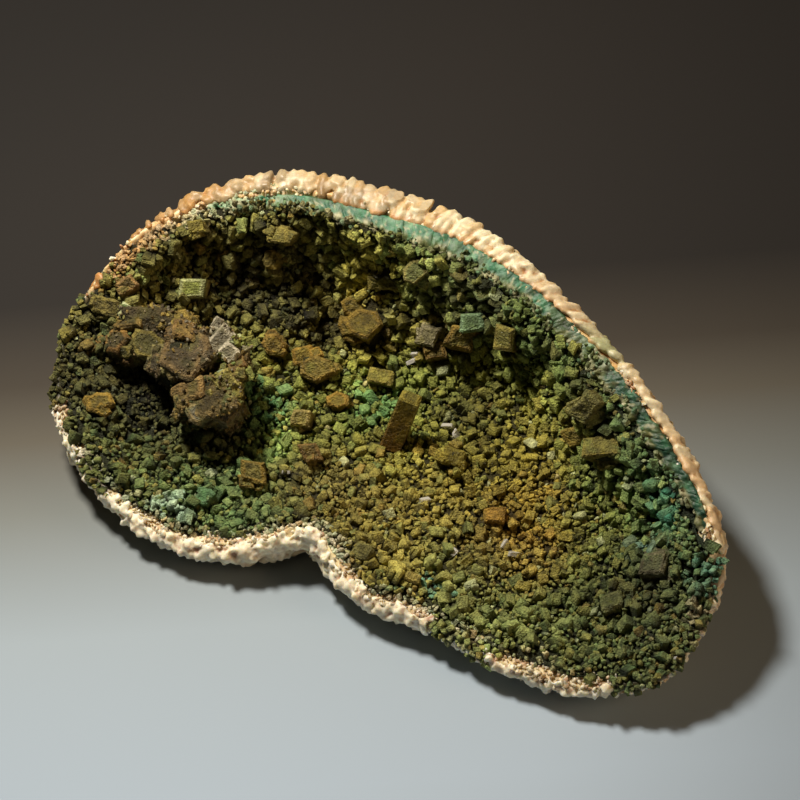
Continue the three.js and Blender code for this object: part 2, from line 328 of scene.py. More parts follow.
def edgeCurve(step):  # the edge about every step mm: u, v, rind and crust width, and the inward u and v
    rows = np.array(mouthEdge, float)
    points = []
    for i in range(len(rows)):
        p0, p1, p2, p3 = (rows[(i + k) % len(rows), :2] for k in (-1, 0, 1, 2))
        d0, d1, d2 = (np.linalg.norm(b - a) ** 0.5 for a, b in ((p0, p1), (p1, p2), (p2, p3)))
        t1 = ((p1 - p0) / d0 - (p2 - p0) / (d0 + d1) + (p2 - p1) / d1) * d1
        t2 = ((p2 - p1) / d1 - (p3 - p1) / (d1 + d2) + (p3 - p2) / d2) * d1
        for x in np.linspace(0, 1, 40, endpoint=False):
            place = (2 * x**3 - 3 * x**2 + 1) * p1 + (x**3 - 2 * x**2 + x) * t1
            place = place + (3 * x**2 - 2 * x**3) * p2 + (x**3 - x**2) * t2
            widths = rows[i, 2:] * (1 - x) + rows[(i + 1) % len(rows), 2:] * x
            points.append([*place, *widths])
    points = np.array(points)
    lengths = np.linalg.norm(np.roll(points[:, :2], -1, 0) - points[:, :2], axis=1)
    along = np.r_[0, np.cumsum(lengths)]
    count = round(along[-1] / step)
    wanted = np.linspace(0, along[-1], count, endpoint=False)
    closed = np.vstack([points, points[:1]])
    curve = np.stack([np.interp(wanted, along, column) for column in closed.T], -1)
    tangent = np.roll(curve[:, :2], -1, 0) - np.roll(curve[:, :2], 1, 0)
    tangent /= np.linalg.norm(tangent, axis=1)[:, None]
    inward = pole - curve[:, :2]
    inward /= np.linalg.norm(inward, axis=1)[:, None]
    slant = np.maximum(0.6, np.abs(inward[:, 0] * tangent[:, 1] - inward[:, 1] * tangent[:, 0]))
    return np.hstack([curve, inward / slant[:, None]])


edgeLine = edgeCurve(1.0)


def insideEdge(mouthPoints):  # how far points lie inside the rind's section, the crust's width, and where
    depth, width, index = [], [], []
    for block in np.array_split(mouthPoints[:, :2], max(1, len(mouthPoints) // 4000)):
        away = np.linalg.norm(block[:, None] - edgeLine[None, :, :2], axis=2)
        nearest = away.argmin(1)
        depth.append(away.min(1) - edgeLine[nearest, 2])
        width.append(edgeLine[nearest, 3])
        index.append(nearest)
    return np.concatenate(depth), np.concatenate(width), np.concatenate(index)


def edgeIndex(u, v):
    return int(np.linalg.norm(edgeLine[:, :2] - (u, v), axis=1).argmin())


def bandShift(u):  # how much further in the green band lies than the solid's own section, in mm
    left = 3.2 * np.exp(-((u + 50) / 36) ** 2) + 1.8 * np.exp(-((u + 95) / 25) ** 2)
    return left - 1.1 * np.exp(-((u - 42) / 16) ** 2)


def lipDraw(u):  # how much further the rim draws in at the left of the top, in mm
    return 2.0 * np.exp(-((u + 55) / 36) ** 2)


def overgrown(place):  # where a pale green lump of grains covers the rim, right of the top
    return np.exp(-(((place[:, 0] - 73) / 9) ** 2 + ((place[:, 1] - 46) / 10) ** 2))


def alongEdge(index, first, last, fade):  # 1 from one point of the edge clockwise to another, 0 beyond
    start, length = edgeIndex(*first), (edgeIndex(*last) - edgeIndex(*first)) % len(edgeLine)
    here = (np.asarray(index, float) - start + fade / 2) % len(edgeLine)
    return ramp(here, 0, fade) * ramp(length + fade - here, 0, fade)


def seatsOf(mesh):  # where each grain sits, the same place on the mouth in mm, and its chance from 0 to 1
    seat = readAttribute(mesh, "seat", 3).astype(float)
    return seat, toMouth(seat), readAttribute(mesh, "chance").astype(float)


def facingOut(mesh):  # 1 where a surface faces out of the mouth, -1 where it faces away
    return normalsOf(mesh) @ np.array(turnMouth(0, 0, 1))


def treeOf(node):
    return BVHTree.FromObject(frame["nodes"][node], bpy.context.evaluated_depsgraph_get())


def distances(points, surface):  # in mm
    return np.array([surface.find_nearest(p)[3] for p in points]) / mm


rindSurface, crustSurface = treeOf("chalcedony_rind"), treeOf("heulandite_crust")
print("loaded; the edge is", len(edgeLine), "mm long")


def newMaterial(name):
    material = bpy.data.materials.new(name)
    material.use_nodes = True
    material.node_tree.nodes.clear()
    return material, material.node_tree


def millimetres(tree):  # object coordinates in mm, for the patterns
    place = addNode(tree, "ShaderNodeTexCoord")
    return addNode(tree, "ShaderNodeVectorMath", {"operation": "SCALE", "Scale": 1000.0},
                   {0: place.outputs["Object"]}).outputs[0]


def finish(tree, surface):
    addNode(tree, "ShaderNodeOutputMaterial", {}, {"Surface": surface.outputs[0]})


def heulanditeMaterial(name, look):
    # Heulandite stained by copper: small dull, sugary faces with a pearly glint on some of them.
    material, tree = newMaterial(name)
    place = {"Vector": millimetres(tree)}
    tint = addNode(tree, "ShaderNodeAttribute", {"attribute_name": "tint"})
    grain = addNode(tree, "ShaderNodeTexVoronoi", {"Scale": 1 / look["grit"], "Randomness": 1.0}, place)
    fine = addNode(tree, "ShaderNodeTexNoise", {"Scale": 1 / (look["grit"] * 0.45), "Detail": 2.0}, place)
    patch = addNode(tree, "ShaderNodeTexNoise", {"Scale": 1 / look["patch"], "Detail": 3.0}, place)
    # Each facet's own chances.
    facet = addNode(tree, "ShaderNodeSeparateColor", {}, {"Color": grain.outputs["Color"]})
    patchValue = addNode(tree, "ShaderNodeMapRange",
                         {"From Min": 0.3, "From Max": 0.7, "To Min": 0.62, "To Max": 1.3},
                         {"Value": patch.outputs["Fac"]})
    gritValue = addNode(tree, "ShaderNodeMapRange",
                        {"From Min": 0.0, "From Max": 1.0, "To Min": 0.72, "To Max": 1.3},
                        {"Value": facet.outputs[0]})
    value = addNode(tree, "ShaderNodeMath", {"operation": "MULTIPLY"},
                    {0: patchValue.outputs[0], 1: gritValue.outputs[0]})
    colour = addNode(tree, "ShaderNodeVectorMath", {"operation": "SCALE"},
                     {0: tint.outputs["Color"], "Scale": value.outputs[0]})
    rough = addNode(tree, "ShaderNodeMapRange",
                    {"From Min": 0.04, "From Max": 0.2, "To Min": look["glint"], "To Max": look["dull"]},
                    {"Value": facet.outputs[1]})
    height = addNode(tree, "ShaderNodeMath", {"operation": "ADD"},
                     {0: grain.outputs["Distance"], 1: fine.outputs["Fac"]})
    bump = addNode(tree, "ShaderNodeBump", {"Strength": look["bump"], "Distance": look["grit"] * 0.8 * mm},
                   {"Height": height.outputs[0]})
    surface = addNode(tree, "ShaderNodeBsdfPrincipled", {"IOR": 1.5, "Specular IOR Level": 0.35},
                      {"Base Color": colour.outputs[0], "Roughness": rough.outputs[0],
                       "Normal": bump.outputs[0]})
    finish(tree, surface)
    return material


def chalcedonyMaterial(name):
    # Chalcedony: waxy, a little light goes in and comes out warm. Rust sits in the low places.
    material, tree = newMaterial(name)
    place = {"Vector": millimetres(tree)}
    tint = addNode(tree, "ShaderNodeAttribute", {"attribute_name": "tint"})
    cloud = addNode(tree, "ShaderNodeTexNoise", {"Scale": 1 / 3.0, "Detail": 4.0, "Roughness": 0.6}, place)
    fleck = addNode(tree, "ShaderNodeTexNoise", {"Scale": 1 / 0.7, "Detail": 2.0}, place)
    cloudValue = addNode(tree, "ShaderNodeMapRange",
                         {"From Min": 0.3, "From Max": 0.7, "To Min": 0.86, "To Max": 1.1},
                         {"Value": cloud.outputs["Fac"]})
    fleckValue = addNode(tree, "ShaderNodeMapRange",
                         {"From Min": 0.25, "From Max": 0.45, "To Min": 0.82, "To Max": 1.0},
                         {"Value": fleck.outputs["Fac"]})
    value = addNode(tree, "ShaderNodeMath", {"operation": "MULTIPLY"},
                    {0: cloudValue.outputs[0], 1: fleckValue.outputs[0]})
    colour = addNode(tree, "ShaderNodeVectorMath", {"operation": "SCALE"},
                     {0: tint.outputs["Color"], "Scale": value.outputs[0]})
    rough = addNode(tree, "ShaderNodeMapRange",
                    {"From Min": 0.3, "From Max": 0.7, "To Min": 0.34, "To Max": 0.62},
                    {"Value": cloud.outputs["Fac"]})
    height = addNode(tree, "ShaderNodeMath", {"operation": "MULTIPLY_ADD", 1: 0.35},
                     {0: fleck.outputs["Fac"], 2: cloud.outputs["Fac"]})
    bump = addNode(tree, "ShaderNodeBump", {"Strength": 0.45, "Distance": 0.5 * mm},
                   {"Height": height.outputs[0]})
    surface = addNode(tree, "ShaderNodeBsdfPrincipled",
                      {"IOR": 1.54, "Subsurface Weight": 0.6, "Subsurface Radius": (1.0, 0.85, 0.52),
                       "Subsurface Scale": 2.2 * mm},
                      {"Base Color": colour.outputs[0], "Roughness": rough.outputs[0],
                       "Normal": bump.outputs[0]})
    finish(tree, surface)
    return material


def sectionMaterial(name):
    # The crust broken across: dense green columns, smoother and a little glossier than the druse.
    material, tree = newMaterial(name)
    tint = addNode(tree, "ShaderNodeAttribute", {"attribute_name": "tint"})
    streak = addNode(tree, "ShaderNodeTexNoise", {"Scale": 1 / 1.1, "Detail": 4.0, "Roughness": 0.65},
                     {"Vector": millimetres(tree)})
    value = addNode(tree, "ShaderNodeMapRange",
                    {"From Min": 0.3, "From Max": 0.7, "To Min": 0.7, "To Max": 1.3},
                    {"Value": streak.outputs["Fac"]})
    colour = addNode(tree, "ShaderNodeVectorMath", {"operation": "SCALE"},
                     {0: tint.outputs["Color"], "Scale": value.outputs[0]})
    rough = addNode(tree, "ShaderNodeMapRange",
                    {"From Min": 0.3, "From Max": 0.7, "To Min": 0.35, "To Max": 0.65},
                    {"Value": streak.outputs["Fac"]})
    bump = addNode(tree, "ShaderNodeBump", {"Strength": 0.6, "Distance": 0.5 * mm},
                   {"Height": streak.outputs["Fac"]})
    surface = addNode(tree, "ShaderNodeBsdfPrincipled", {"IOR": 1.5},
                      {"Base Color": colour.outputs[0], "Roughness": rough.outputs[0],
                       "Normal": bump.outputs[0]})
    finish(tree, surface)
    return material


# Sizes of the sugary facets and of the patches, in mm, and roughness of dull and of glinting facets.
druseMaterial = heulanditeMaterial("copper-stained heulandite druse",
                                   dict(grit=0.8, patch=2.2, dull=0.8, glint=0.3, bump=1.0))
crystalMaterial = heulanditeMaterial("sugary heulandite crystal",
                                     dict(grit=0.9, patch=3.0, dull=0.75, glint=0.18, bump=1.0))
rindMaterial = chalcedonyMaterial("waxy chalcedony")
bandMaterial = sectionMaterial("green columnar section")


def scatterTree(name, keepSurface):
    # Poisson points where the "growth" attribute lets them, each with one shape of the collection.
    tree = bpy.data.node_groups.new(name, "GeometryNodeTree")
    sockets = [("Surface", "Geometry"), ("Shapes", "Collection"), ("Spacing", "Float"), ("Smallest", "Float"),
               ("Largest", "Float"), ("Sink", "Float"), ("Tilt", "Float"), ("Seed", "Int"),
               ("Material", "Material")]
    for label, kind in sockets:
        tree.interface.new_socket(name=label, in_out="INPUT", socket_type="NodeSocket" + kind)
    tree.interface.new_socket(name="Geometry", in_out="OUTPUT", socket_type="NodeSocketGeometry")
    given = addNode(tree, "NodeGroupInput").outputs
    growth = addNode(tree, "GeometryNodeInputNamedAttribute", {"data_type": "FLOAT", "Name": "growth"})
    points = addNode(tree, "GeometryNodeDistributePointsOnFaces",
                     {"distribute_method": "POISSON", "Density Max": 1e6},
                     {"Mesh": given["Surface"], "Distance Min": given["Spacing"],
                      "Density Factor": growth.outputs["Attribute"], "Seed": given["Seed"]})
    size = addNode(tree, "FunctionNodeRandomValue", {"data_type": "FLOAT"},
                   {2: given["Smallest"], 3: given["Largest"], "Seed": given["Seed"]})
    sink = addNode(tree, "ShaderNodeMath", {"operation": "MULTIPLY"}, {0: size.outputs[1], 1: given["Sink"]})
    offset = addNode(tree, "ShaderNodeVectorMath", {"operation": "SCALE"},
                     {0: points.outputs["Normal"], "Scale": sink.outputs[0]})
    seated = addNode(tree, "GeometryNodeSetPosition", {},
                     {"Geometry": points.outputs["Points"], "Offset": offset.outputs[0]})
    sized = addNode(tree, "GeometryNodeStoreNamedAttribute",
                    {"data_type": "FLOAT", "domain": "POINT", "Name": "size"},
                    {"Geometry": seated.outputs[0], "Value": size.outputs[1]})
    low = addNode(tree, "ShaderNodeCombineXYZ", {"Z": 0.0})
    back = addNode(tree, "ShaderNodeMath", {"operation": "MULTIPLY", 1: -1.0}, {0: given["Tilt"]})
    high = addNode(tree, "ShaderNodeCombineXYZ", {"Z": 2 * math.pi})
    for axis in ("X", "Y"):
        tree.links.new(back.outputs[0], low.inputs[axis])
        tree.links.new(given["Tilt"], high.inputs[axis])
    spin = addNode(tree, "FunctionNodeRandomValue", {"data_type": "FLOAT_VECTOR", "Seed": 5},
                   {0: low.outputs[0], 1: high.outputs[0]})
    turn = addNode(tree, "FunctionNodeEulerToRotation", {}, {"Euler": spin.outputs[0]})
    rotation = addNode(tree, "FunctionNodeRotateRotation", {"rotation_space": "LOCAL"},
                       {"Rotation": points.outputs["Rotation"], "Rotate By": turn.outputs[0]})
    shapes = addNode(tree, "GeometryNodeCollectionInfo", {"Separate Children": True, "Reset Children": True},
                     {"Collection": given["Shapes"]})
    placed = addNode(tree, "GeometryNodeInstanceOnPoints", {"Pick Instance": True},
                     {"Points": sized.outputs[0], "Instance": shapes.outputs[0],
                      "Rotation": rotation.outputs[0], "Scale": size.outputs[1]})
    where = addNode(tree, "GeometryNodeInputPosition")
    seat = addNode(tree, "GeometryNodeStoreNamedAttribute",
                   {"data_type": "FLOAT_VECTOR", "domain": "INSTANCE", "Name": "seat"},
                   {"Geometry": placed.outputs[0], "Value": where.outputs[0]})
    chance = addNode(tree, "FunctionNodeRandomValue", {"data_type": "FLOAT", "Seed": 9})
    marked = addNode(tree, "GeometryNodeStoreNamedAttribute",
                     {"data_type": "FLOAT", "domain": "INSTANCE", "Name": "chance"},
                     {"Geometry": seat.outputs[0], "Value": chance.outputs[1]})
    last = addNode(tree, "GeometryNodeRealizeInstances", {}, {"Geometry": marked.outputs[0]})
    if keepSurface:
        last = addNode(tree, "GeometryNodeJoinGeometry", {}, {"Geometry": last.outputs[0]})
        tree.links.new(given["Surface"], last.inputs[0])
    dressed = addNode(tree, "GeometryNodeSetMaterial", {},
                      {"Geometry": last.outputs[0], "Material": given["Material"]})
    addNode(tree, "NodeGroupOutput", {}, {0: dressed.outputs[0]})
    return tree


scatterOn = scatterTree("shapes on a surface", True)
scatterOnly = scatterTree("shapes off a surface", False)


def collectionOf(name, meshes):
    group = bpy.data.collections.new(name)
    for i, mesh in enumerate(meshes):
        group.objects.link(bpy.data.objects.new(f"{name}{i}", mesh))
    return group


def dropCollection(group):
    for piece in list(group.objects):
        bpy.data.objects.remove(piece)
    bpy.data.collections.remove(group)


def addRings(shape, rings):  # walls between rings of vertices, and both ends
    for below, above in zip(rings, rings[1:]):
        for i in range(len(below)):
            j = (i + 1) % len(below)
            shape.faces.new((below[i], below[j], above[j], above[i]))
    shape.faces.new(rings[-1])
    shape.faces.new(rings[0][::-1])


def addTablet(shape, chance, thick, matrix):  # heulandite's own habit: a thick slanted tablet, corners cut
    long, deep = chance.uniform(0.4, 0.56), chance.uniform(0.27, 0.42)
    cut, skew = chance.uniform(0.08, 0.3), chance.uniform(-0.35, 0.35)
    slant = (chance.uniform(-0.3, 0.3), chance.uniform(-0.3, 0.3))
    outline = []
    for x, y in ((1, 1), (-1, 1), (-1, -1), (1, -1)):
        ends = [(x, y * (1 - cut)), (x * (1 - cut), y)]
        outline += ends if x == y else ends[::-1]
    rings = []
    for height, width in ((-0.5, 0.8), (thick - 0.1, 1.0), (thick, 0.76)):
        ring = []
        for x, y in outline:
            x = (x + chance.uniform(-0.08, 0.08)) * long * width
            y = (y + chance.uniform(-0.08, 0.08)) * deep * width
            rise = height + (x * slant[0] + y * slant[1] + chance.uniform(-0.04, 0.04)) * (height > 0)
            ring.append(shape.verts.new(matrix @ Vector((x + skew * y, y, rise))))
        rings.append(ring)
    addRings(shape, rings)


def scatterShape(name, shape):  # its "top" runs from 0 at the foot to 1
    mesh = meshOf(shape, name)
    height = coordsOf(mesh)[:, 2]
    storeAttribute(mesh, "top", ramp(height, height.min(), height.max()))
    return mesh


def tabletShape(seed, thick, others=0):  # one tablet, or one with others nearly parallel to it
    chance = random.Random(seed)
    shape = bmesh.new()
    addTablet(shape, chance, thick, Matrix.Identity(4))
    for _ in range(others):
        place = Matrix.Translation([chance.uniform(-0.42, 0.42), chance.uniform(-0.42, 0.42),
                                    chance.uniform(-0.25, 0.1)])
        spin = Matrix.Rotation(chance.uniform(-0.4, 0.4), 4, "Z")
        lean = Matrix.Rotation(chance.uniform(-0.35, 0.35), 4, "X")
        addTablet(shape, chance, thick, place @ spin @ lean @ Matrix.Scale(chance.uniform(0.5, 0.75), 4))
    return scatterShape("tablet", shape)


def chipShape(seed):  # a small, blunt, angular grain
    chance = random.Random(seed)
    shape = bmesh.new()
    sides = chance.choice((4, 5, 5, 6))
    squash, slant = chance.uniform(0.6, 1.0), (chance.uniform(-0.4, 0.4), chance.uniform(-0.4, 0.4))
    tops = chance.uniform(0.25, 0.5)
    rings = []
    for height, width in ((-0.4, 0.7), (tops, 0.8)):
        ring = []
        for i in range(sides):
            angle = 2 * math.pi * (i + chance.uniform(-0.3, 0.3)) / sides
            far = width * chance.uniform(0.45, 0.68)
            x, y = math.cos(angle) * far, math.sin(angle) * far * squash
            rise = (x * slant[0] + y * slant[1] + chance.uniform(-0.1, 0.1)) * (height > 0)
            ring.append(shape.verts.new((x, y, height + rise)))
        rings.append(ring)
    for i in range(sides):
        j = (i + 1) % sides
        shape.faces.new((rings[0][i], rings[0][j], rings[1][j], rings[1][i]))
    shape.faces.new(rings[0][::-1])
    peak = shape.verts.new((chance.uniform(-0.12, 0.12), chance.uniform(-0.12, 0.12),
                            tops + chance.uniform(0.0, 0.2)))
    for i in range(sides):
        shape.faces.new((rings[1][i], rings[1][(i + 1) % sides], peak))
    return scatterShape("chip", shape)


# The rind. Sizes in mm where no unit is given.
rindSettings = dict(
    voxel=1.65 * mm,  # the skin's mesh
    smoothing=2,
    inset=0.5 * mm,  # how far the outside draws in, so that the beads end where the solid does
    lipInset=1.1,  # and how much further near the broken edge
    sectionDrop=(0.5, 1.6),  # how far the section lies under the edge beside the crust, and outside that
    lipDepth=15,  # the rim's own beads reach this far down from the broken edge
    coarse=dict(Spacing=6.2 * mm, Smallest=3.4 * mm, Largest=5.2 * mm, Sink=-0.5, Tilt=3.0, Seed=4),
    beads=dict(Spacing=3.3 * mm, Smallest=1.7 * mm, Largest=2.9 * mm, Sink=-0.3, Tilt=3.0, Seed=3),
    chunks=dict(Spacing=2.3 * mm, Smallest=2.6 * mm, Largest=5.4 * mm, Sink=-0.02, Tilt=1.1, Seed=20),
    # The blunt crystals across the rim: their step along it, a row's width, half sizes and turn.
    teeth=dict(step=4.6, row=5.2, along=(2.4, 3.0), across=(1.25, 1.55), height=(2.3, 3.1), slant=-0.45,
               wander=0.25),
    fused=dict(voxel=0.82, rough=((1.3, 0.18), (2.4, 0.28), (5.0, 0.45)), grit=0.04),
    cream="#f0deb0", white="#fdf4da", honey="#cc9b50", peach="#d8b88e", beige="#c0a884", tan="#bf9a60",
    pale="#e6ddbc", amber="#c9ab78", grey="#c0a482", brown="#b58a4e", dark="#96703e", lump="#8f9a6a",
    rust="#9a5524", hollowBrown="#54402f", line="#c08544", olive="#3d3a1e", mint="#9fb694",
)

# Where the druse comes over the rind's edge: from where, clockwise to where, and how far down.
drusyEdge = [((-139, -50), (-146, 0), 12), ((-101, -81), (-120, -69), 4), ((147, -20), (124, -88), 5),
             ((75, -92), (47, -86), 5)]


def druseOverRind(place):
    index = insideEdge(place)[2]
    return np.maximum.reduce([alongEdge(index, first, last, 6) * ramp(place[:, 2], -down, -down + 3)
                              for first, last, down in drusyEdge])


def brokenShare(place):  # the front edge, where the rind has broken off in chunks
    return ramp(-place[:, 1], 30, 42) * ramp(place[:, 2], -13, -9)


def crumblyShare(index):  # where the rim beside the crust has crumbled
    left, right = alongEdge(index, (-112, 61), (-74, 81), 8), alongEdge(index, (80, 46), (100, 33), 5)
    return np.maximum(left, 0.9 * right)


def teethShare(index):  # the part of the rim whose beads stand in rows across it
    return alongEdge(index, (-134, 36), (147, -20), 8)


def keepInBox(mesh):
    margin = 0.02 * mm
    low, high = np.array(cadBox[0]) + margin, np.array(cadBox[1]) - margin
    setCoords(mesh, np.clip(coordsOf(mesh), low, high))


def beadShape(seed):  # a blunt, uneven, rather blocky bead of radius 1
    chance = random.Random(seed)
    shape = bmesh.new()
    bmesh.ops.create_icosphere(shape, subdivisions=3, radius=1)
    long = chance.uniform(1.0, 1.2)
    cuts = [(Vector([chance.gauss(0, 1) for _ in range(3)]).normalized(), chance.uniform(0.72, 0.92))
            for _ in range(9)]
    for vertex in shape.verts:
        vertex.co /= sum(abs(c) ** 3 for c in vertex.co) ** (1 / 3)
        for direction, far in cuts:
            vertex.co -= direction * max(0.0, vertex.co.dot(direction) - far)
        vertex.co.x *= long
        vertex.co.y *= 2 - long
    return meshOf(shape, "bead")


def makeRind(look, beads):  # the solid with coarse knobs on its outside, all one skin
    piece = copyOfNode("chalcedony_rind", "chalcedonyRind")
    mesh = piece.data
    fromCrust = distances(coordsOf(mesh), crustSurface)
    place = toMouth(coordsOf(mesh))
    section = ramp(place[:, 2], -2.5, -0.5) * ramp(facingOut(mesh), 0.0, 0.4)
    skin = ramp(fromCrust, 0.9, 1.5) * (1 - section)
    setCoords(mesh, coordsOf(mesh) - normalsOf(mesh) * (skin * look["inset"])[:, None])
    upper = ramp(place[:, 2], -look["lipDepth"] - 4, -look["lipDepth"] + 4)
    storeAttribute(mesh, "growth", skin * (1 - upper))
    useTree(piece, scatterOn, dict(look["coarse"], Shapes=beads))
    applyModifiers(piece)
    mesh = remeshed(piece, look["voxel"], look["smoothing"])
    coords = coordsOf(mesh)
    place = toMouth(coords)
    fromCrust = distances(coords, crustSurface)
    section = ramp(place[:, 2], -2.2, -0.8)
    lip = ramp(fromCrust, 0.9, 1.5) * ramp(place[:, 2], -20, -12) * (1 - section)
    lip = lip * (0.4 + 1.1 * ramp(place[:, 1], -10, 20))
    beside, away = look["sectionDrop"]
    drop = section * (beside + (away - beside) * ramp(fromCrust, 1.2, 2.6))
    rough = (softNoise(coords, 3.2, 7) - 0.5) * 1.3 * section
    inset = lip * (look["lipInset"] + lipDraw(place[:, 0]) * ramp(place[:, 1], 10, 40))
    setCoords(mesh, coords - normalsOf(mesh) * ((inset + drop + rough) * mm)[:, None])
    keepInBox(mesh)
    paintRind(mesh, look)
    dress(mesh, rindMaterial)
    return piece, fromCrust


def makeRimBeads(look, rind, fromCrust, beads):  # rows across the rim at the back, small beads all round
    ground = rind.data.copy()
    dropAttributes(ground, "tint", "chance", "seat", "size")
    place = toMouth(coordsOf(ground))
    upper = ramp(place[:, 2], -look["lipDepth"] - 2, -look["lipDepth"] + 2)
    number = insideEdge(place)[2]
    ownRows = teethShare(number) * ramp(place[:, 2], -6, -4) * (1 - crumblyShare(number))
    broken = brokenShare(place)
    free = ramp(fromCrust + 1.2 * broken, 1.5, 2.3) * (1 - druseOverRind(place))
    chunks = collectionOf("chunks", [chipShape(80 + i) for i in range(6)])
    made = []
    unbroken = upper * (1 - ownRows) * (1 - broken)
    for growth, shapes, kind in ((unbroken, beads, "beads"), (broken, chunks, "chunks")):
        layer = newObject(kind, ground.copy())
        storeAttribute(layer.data, "growth", free * growth)
        useTree(layer, scatterOnly, dict(look[kind], Shapes=shapes, Material=rindMaterial))
        made.append(applyModifiers(layer))
        bpy.data.objects.remove(layer)
    dropCollection(chunks)
    rim = newObject("rimBeads", joinMeshes([*made, rimTeeth(look["teeth"], list(beads.objects))]))
    paintBeads(rim.data, look)
    fuse(rim, **look["fused"], rougher=lambda coords: 1 + 1.3 * ramp(-toMouth(coords)[:, 1], 20, 40))
    stainGaps(rim.data, look)
    dress(rim.data, rindMaterial)
    report("rimBeads", rim.data)
    keepInBox(rim.data)
    return rim


def rimTeeth(teeth, beads):  # blunt crystals side by side, their long axes across the rim
    shapes = [(coordsOf(b.data), [tuple(p.vertices) for p in b.data.polygons]) for b in beads]
    chance = random.Random(31)
    coords, faces, seats, chances = [], [], [], []
    for index in np.arange(0, len(edgeLine), teeth["step"]):
        here = edgeLine[int(index)]
        wide = here[2] - 0.6 + bandShift(here[0]) - 3 * crumblyShare([index])[0]
        count = max(1, round(wide / teeth["row"])) if teethShare([index])[0] > 0.5 else 0
        for row in range(count):
            u, v, _, _, inU, inV = edgeLine[int(index + row * 2.3 + chance.uniform(-1, 1)) % len(edgeLine)]
            start = 0.9 + lipDraw(u)
            depth = start + (wide - start) * (row + 0.5) / count + chance.uniform(-0.4, 0.4)
            inward = Vector((inU, inV, 0)).normalized()
            inward.rotate(Matrix.Rotation(teeth["slant"] + chance.uniform(-1, 1) * teeth["wander"], 3, "Z"))
            dip = chance.uniform(0.1, 0.35) + (0.35 if row == 0 else 0)
            long = Vector((inward.x * math.cos(dip), inward.y * math.cos(dip), math.sin(dip)))
            side = Vector((-inward.y, inward.x, chance.uniform(-0.25, 0.25))).normalized()
            size = chance.uniform(0.8, 1.12) * min(1.0, 0.55 + wide / 16)
            axes = [long * max(2.4, wide / count / 2 * chance.uniform(*teeth["across"])),
                    side * chance.uniform(*teeth["along"]) * size,
                    long.cross(side) * chance.uniform(*teeth["height"]) * size]
            w = (-2.7 if row == 0 else -1.9) + chance.uniform(-0.35, 0.25)
            centre = (u + inU * depth, v + inV * depth, w)
            points, polygons = chance.choice(shapes)
            faces += [tuple(i + len(coords) for i in polygon) for polygon in polygons]
            coords += [tuple(fromMouth(*p)) for p in points @ np.array([tuple(a) for a in axes]) + centre]
            seats += [tuple(fromMouth(*centre))] * len(points)
            chances += [chance.random()] * len(points)
    mesh = closedMesh("teeth", coords, faces)
    mesh.attributes.new("seat", "FLOAT_VECTOR", "POINT").data.foreach_set("vector", np.array(seats).ravel())
    storeAttribute(mesh, "chance", np.array(chances))
    return mesh


def paintBeads(mesh, look):
    seat, place, chance = seatsOf(mesh)
    u, v, w = place.T
    back, behind = ramp(v, -40, -10), v > 0
    tint = mixColours(look["white"], look["cream"], ramp(chance, 0.2, 1.0) * (0.4 + 0.6 * back))
    grown = mixColours(look["pale"], look["amber"], ramp(chance, 0.3, 1.1))
    left = np.exp(-((u + 60) / 40) ** 2) * behind
    tint = paint(tint, (grown, back), (look["honey"], left * (0.15 + 0.3 * patchy(seat, 7, 9, 0.3, 0.7))))
    shaded = ramp(-u, 5, 40) * back * (0.55 + 0.9 * patchy(seat, 6, 32, 0.35, 0.65))
    tint = tint * (1 - shaded[:, None] * (0.36, 0.38, 0.4))
    low = ramp(-w, 5, 15)  # down the outside they turn to the rind's own colours
    tint = paint(
        tint,
        (look["grey"], np.exp(-((u - 56) / 30) ** 2) * back * 0.45),
        (look["peach"], ramp(u, 80, 125) * back * (0.2 + 0.5 * chance)),
        (look["brown"], ramp(-u, 86, 110) * behind * (0.45 + 0.4 * chance)),
        (look["dark"], ramp(-u, 112, 124) * behind * 0.45),
        (look["lump"], overgrown(place) * (0.75 + 0.2 * chance)),
        (look["peach"], low * 0.6 * back),
        (look["tan"], low * 0.6 * (1 - back)))
    storeAttribute(mesh, "tint", tint)


def stainGaps(mesh, look):  # rust and honey lie between the beads, and rust in specks on the broken front
    coords = coordsOf(mesh)
    place = toMouth(coords)
    low, depth = hollowness(mesh, 4), insideEdge(place)[0]
    front = ramp(-place[:, 1], 10, 40)
    brown = ramp(-place[:, 0], 84, 104) * (place[:, 1] > 0)
    flecks = np.maximum(patchy(coords, 5, 10, 0.45, 0.65), brown * 0.8)
    speck = patchy(coords, 1.6, 11, 0.58, 0.75) * patchy(coords, 9, 12, 0.35, 0.6)
    seam = ramp(depth - bandShift(place[:, 0]), -2.2, -0.8) * (1 - front) * ramp(place[:, 2], -5, -3)
    tint = paint(
        readColours(mesh, "tint"),
        (look["honey"], ramp(low, 0.02, 0.35) * (0.6 - 0.3 * front)),
        (look["rust"], ramp(low, 0.08, 0.4) * flecks * 0.8),
        (look["rust"], speck * front * (0.35 + 0.45 * ramp(depth, -4, -1))),
        (look["line"], seam * (0.35 + 0.5 * softNoise(coords, 3, 19))))
    dropAttributes(mesh, "tint")
    storeAttribute(mesh, "tint", tint * (0.86 + 0.28 * softNoise(coords, 1.1, 13))[:, None])


